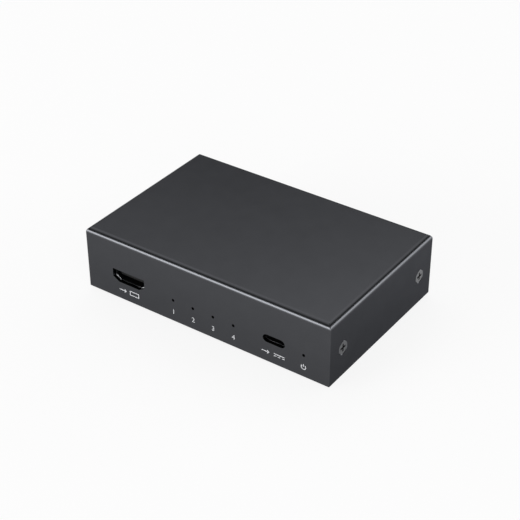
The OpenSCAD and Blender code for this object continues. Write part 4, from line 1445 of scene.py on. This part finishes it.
    def printed(self, x: float = 0.0) -> Matrix:
        """The place of a print on the front, with the row of marks at 0 on its up axis."""
        return Facing.FRONT.at(x, -self.half_d - self.print_t, self.mark_up)

    def marks(self) -> Object:
        """Prints generic marks: an arrow into a screen, an arrow with direct current, and standby.

        Returns:
            The print, one thin layer on the front.
        """
        marks = Marks(self.print_t)
        marks.arrow(self.video_x - 3.0)
        marks.screen(self.video_x + 2.4, 2.2, self.mark_h / 2)
        marks.arrow(self.power_x - 3.5)
        marks.direct_current(self.power_x + 2.3)
        marks.standby(self.lamps[4], self.mark_h / 2 + 0.1)
        return marks.build("front_marks", [INK], self.printed(), smooth=False)

    def digit(self, number: int) -> Object:
        """Prints the plain number under one of the output lamps.

        Args:
            number: The number, from 1.

        Returns:
            The print, one thin layer.
        """
        curve = bpy.data.curves.new("digit", "FONT")
        curve.body, curve.align_x, curve.resolution_u = str(number), "CENTER", 6
        holder = put("digit", curve)
        mesh = evaluated(holder)
        bpy.data.objects.remove(holder)
        low, high = (Vector(map(pick, zip(*(v.co for v in mesh.vertices)))) for pick in (min, max))
        scale = self.mark_h / (high.y - low.y)
        top = [(v.co - (low + high) / 2) * scale for v in mesh.vertices]
        bottom = moved(top, out=-self.print_t)
        draft = Draft()
        edges: dict[tuple[int, int], None] = {}
        for polygon in mesh.polygons:
            ring = list(polygon.vertices)
            if polygon.normal.z < 0:
                ring.reverse()
            draft.face([top[n] for n in ring])
            draft.face([bottom[n] for n in ring[::-1]])
            edges.update(dict.fromkeys(zip(ring, ring[1:] + ring[:1])))
        for a, b in edges:
            if (b, a) not in edges:
                draft.face([bottom[a], bottom[b], top[b], top[a]])
        place = self.printed(self.lamps[number - 1])
        return draft.build(f"lamp_number_{number}", [INK], place, smooth=False)

    def foot(self, node: str) -> Object:
        """Builds a rubber foot with a soft lower edge.

        Args:
            node: The node that it stands for.

        Returns:
            The foot.
        """
        low, high = box_mm(node)
        top_r, tall = (high.x - low.x) / 2, high.z - low.z
        low_r, edge, rim = top_r - tall / 4, self.foot_edge, self.foot_rim
        levels = [(low_r - edge * (1 - math.sin(a)), edge * (1 - math.cos(a)))
                  for a in map(math.radians, (0, 30, 60, 90))] + [(top_r, tall - rim), (top_r - rim, tall)]
        draft = Draft()
        draft.sweep([moved(circle(radius, ROUND_SIDES), out=z) for radius, z in levels])
        middle = middle_mm(node)
        return draft.build(node + "_cast", [RUBBER], Facing.UP.at(middle.x, middle.y, low.z))

    def build(self, copies: CopyTree) -> None:
        """Builds and settles the case.

        Args:
            copies: The tree that copies the screws.
        """
        settle(self.cover(), CASE, "top_cover")
        settle(self.marks(), INK)
        for number in range(1, 5):
            settle(self.digit(number), INK)
        places = [facing.at(side * self.half_w, end * self.screw_y, self.screw_up)
                  for facing, side in ((Facing.RIGHT, 1), (Facing.LEFT, -1)) for end in (-1, 1)]
        # The screws' recesses take a colour with painted shade
        settle(copies.copy("side_screws", self.screw.draft(), [SCREW, PAINTED_RECESS_SHADE], places), SCREW, "cover_screws")
        for node in ("foot_front_left", "foot_front_right", "foot_rear_left", "foot_rear_right"):
            settle(self.foot(node), RUBBER, node)
        dress("base_plate", PLATE)
        dress("clinch_nuts", ZINC)

    def sockets(self, copies: CopyTree) -> None:
        """Builds the input, the outputs and the power socket behind their cut-outs.

        Args:
            copies: The tree that copies the contacts.
        """
        self.video.build("video_in", Facing.FRONT.at(self.video_x, -self.mouth, self.video_up), copies)
        for number, x in enumerate(self.outputs, 1):
            self.video.build(f"output_{number}", Facing.REAR.at(x, self.mouth, self.video_up), copies)
        self.power.build("power_in", Facing.FRONT.at(self.power_x, -self.mouth, self.power_up), copies)


@dataclass
class Electronics:
    """The board and what stands on it. Sizes in mm."""

    sink_base: float = 2.0
    sink_fin: float = 1.0
    sink_fins: int = 8
    plain: dict[str, Finish] = field(default_factory=lambda: {
        "board_standoffs": BRASS, "board_screws": ZINC, "insulating_sheet": FILM, "main_board": LAMINATE,
        "splitter_chip": CHIP, "thermal_pad": PAD, "controller_chip": CHIP, "memory_chip": CHIP,
        "clock_crystal": CRYSTAL, "regulator_chips": CHIP, "power_inductors": FERRITE,
        "capacitor_bases": NYLON, "capacitor_cans": CAN, "power_fuse": FUSE, "chip_capacitors": CERAMIC,
        "chip_resistors": GLAZE, "surge_arrays": CHIP, "header_base": NYLON, "header_pins": GOLD,
        "power_lamp": LENS, "power_lamp_holder": NYLON, "power_in_riser": TONGUE,
        **{f"status_lamp_{n}": LENS for n in range(1, 5)},
        **{f"lamp_holder_{n}": NYLON for n in range(1, 5)}})

    def build(self) -> None:
        """Dresses the nodes and builds the heat sink."""
        for node, finish in self.plain.items():
            dress(node, finish)
        low, high = box_mm("heat_sink")
        width, tall, base = high.x - low.x, high.z - low.z, self.sink_base
        reach = width - self.sink_fin
        sizes = {"Base size": (width, width, base), "Base middle": (0, 0, base / 2),
                 "Fin size": (self.sink_fin, width, tall - base),
                 "First fin": (-reach / 2, 0, (tall + base) / 2),
                 "Fin step": (reach / (self.sink_fins - 1), 0, 0)}
        values = {name: [length * MM for length in size] for name, size in sizes.items()}
        middle = middle_mm("heat_sink")
        sink = SinkTree().run("finned_sink", [Matrix.Translation((middle.x, middle.y, low.z))],
                              {**values, "Fins": self.sink_fins, "Finish": SINK.material()})
        settle(sink, SINK, "heat_sink")


def corners(box: tuple[Vector, Vector]) -> list[list[float]]:
    """A box's two corners as plain lists."""
    return [list(corner) for corner in box]


def main() -> None:
    """Builds the studio, the case, the sockets and the board in order."""
    logging.basicConfig(level=logging.INFO, format="%(name)s: %(message)s")
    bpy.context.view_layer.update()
    Studio().build()
    copies = CopyTree()
    case = Case()
    case.build(copies)
    case.sockets(copies)
    Electronics().build()


if __name__ == "__main__":
    main()
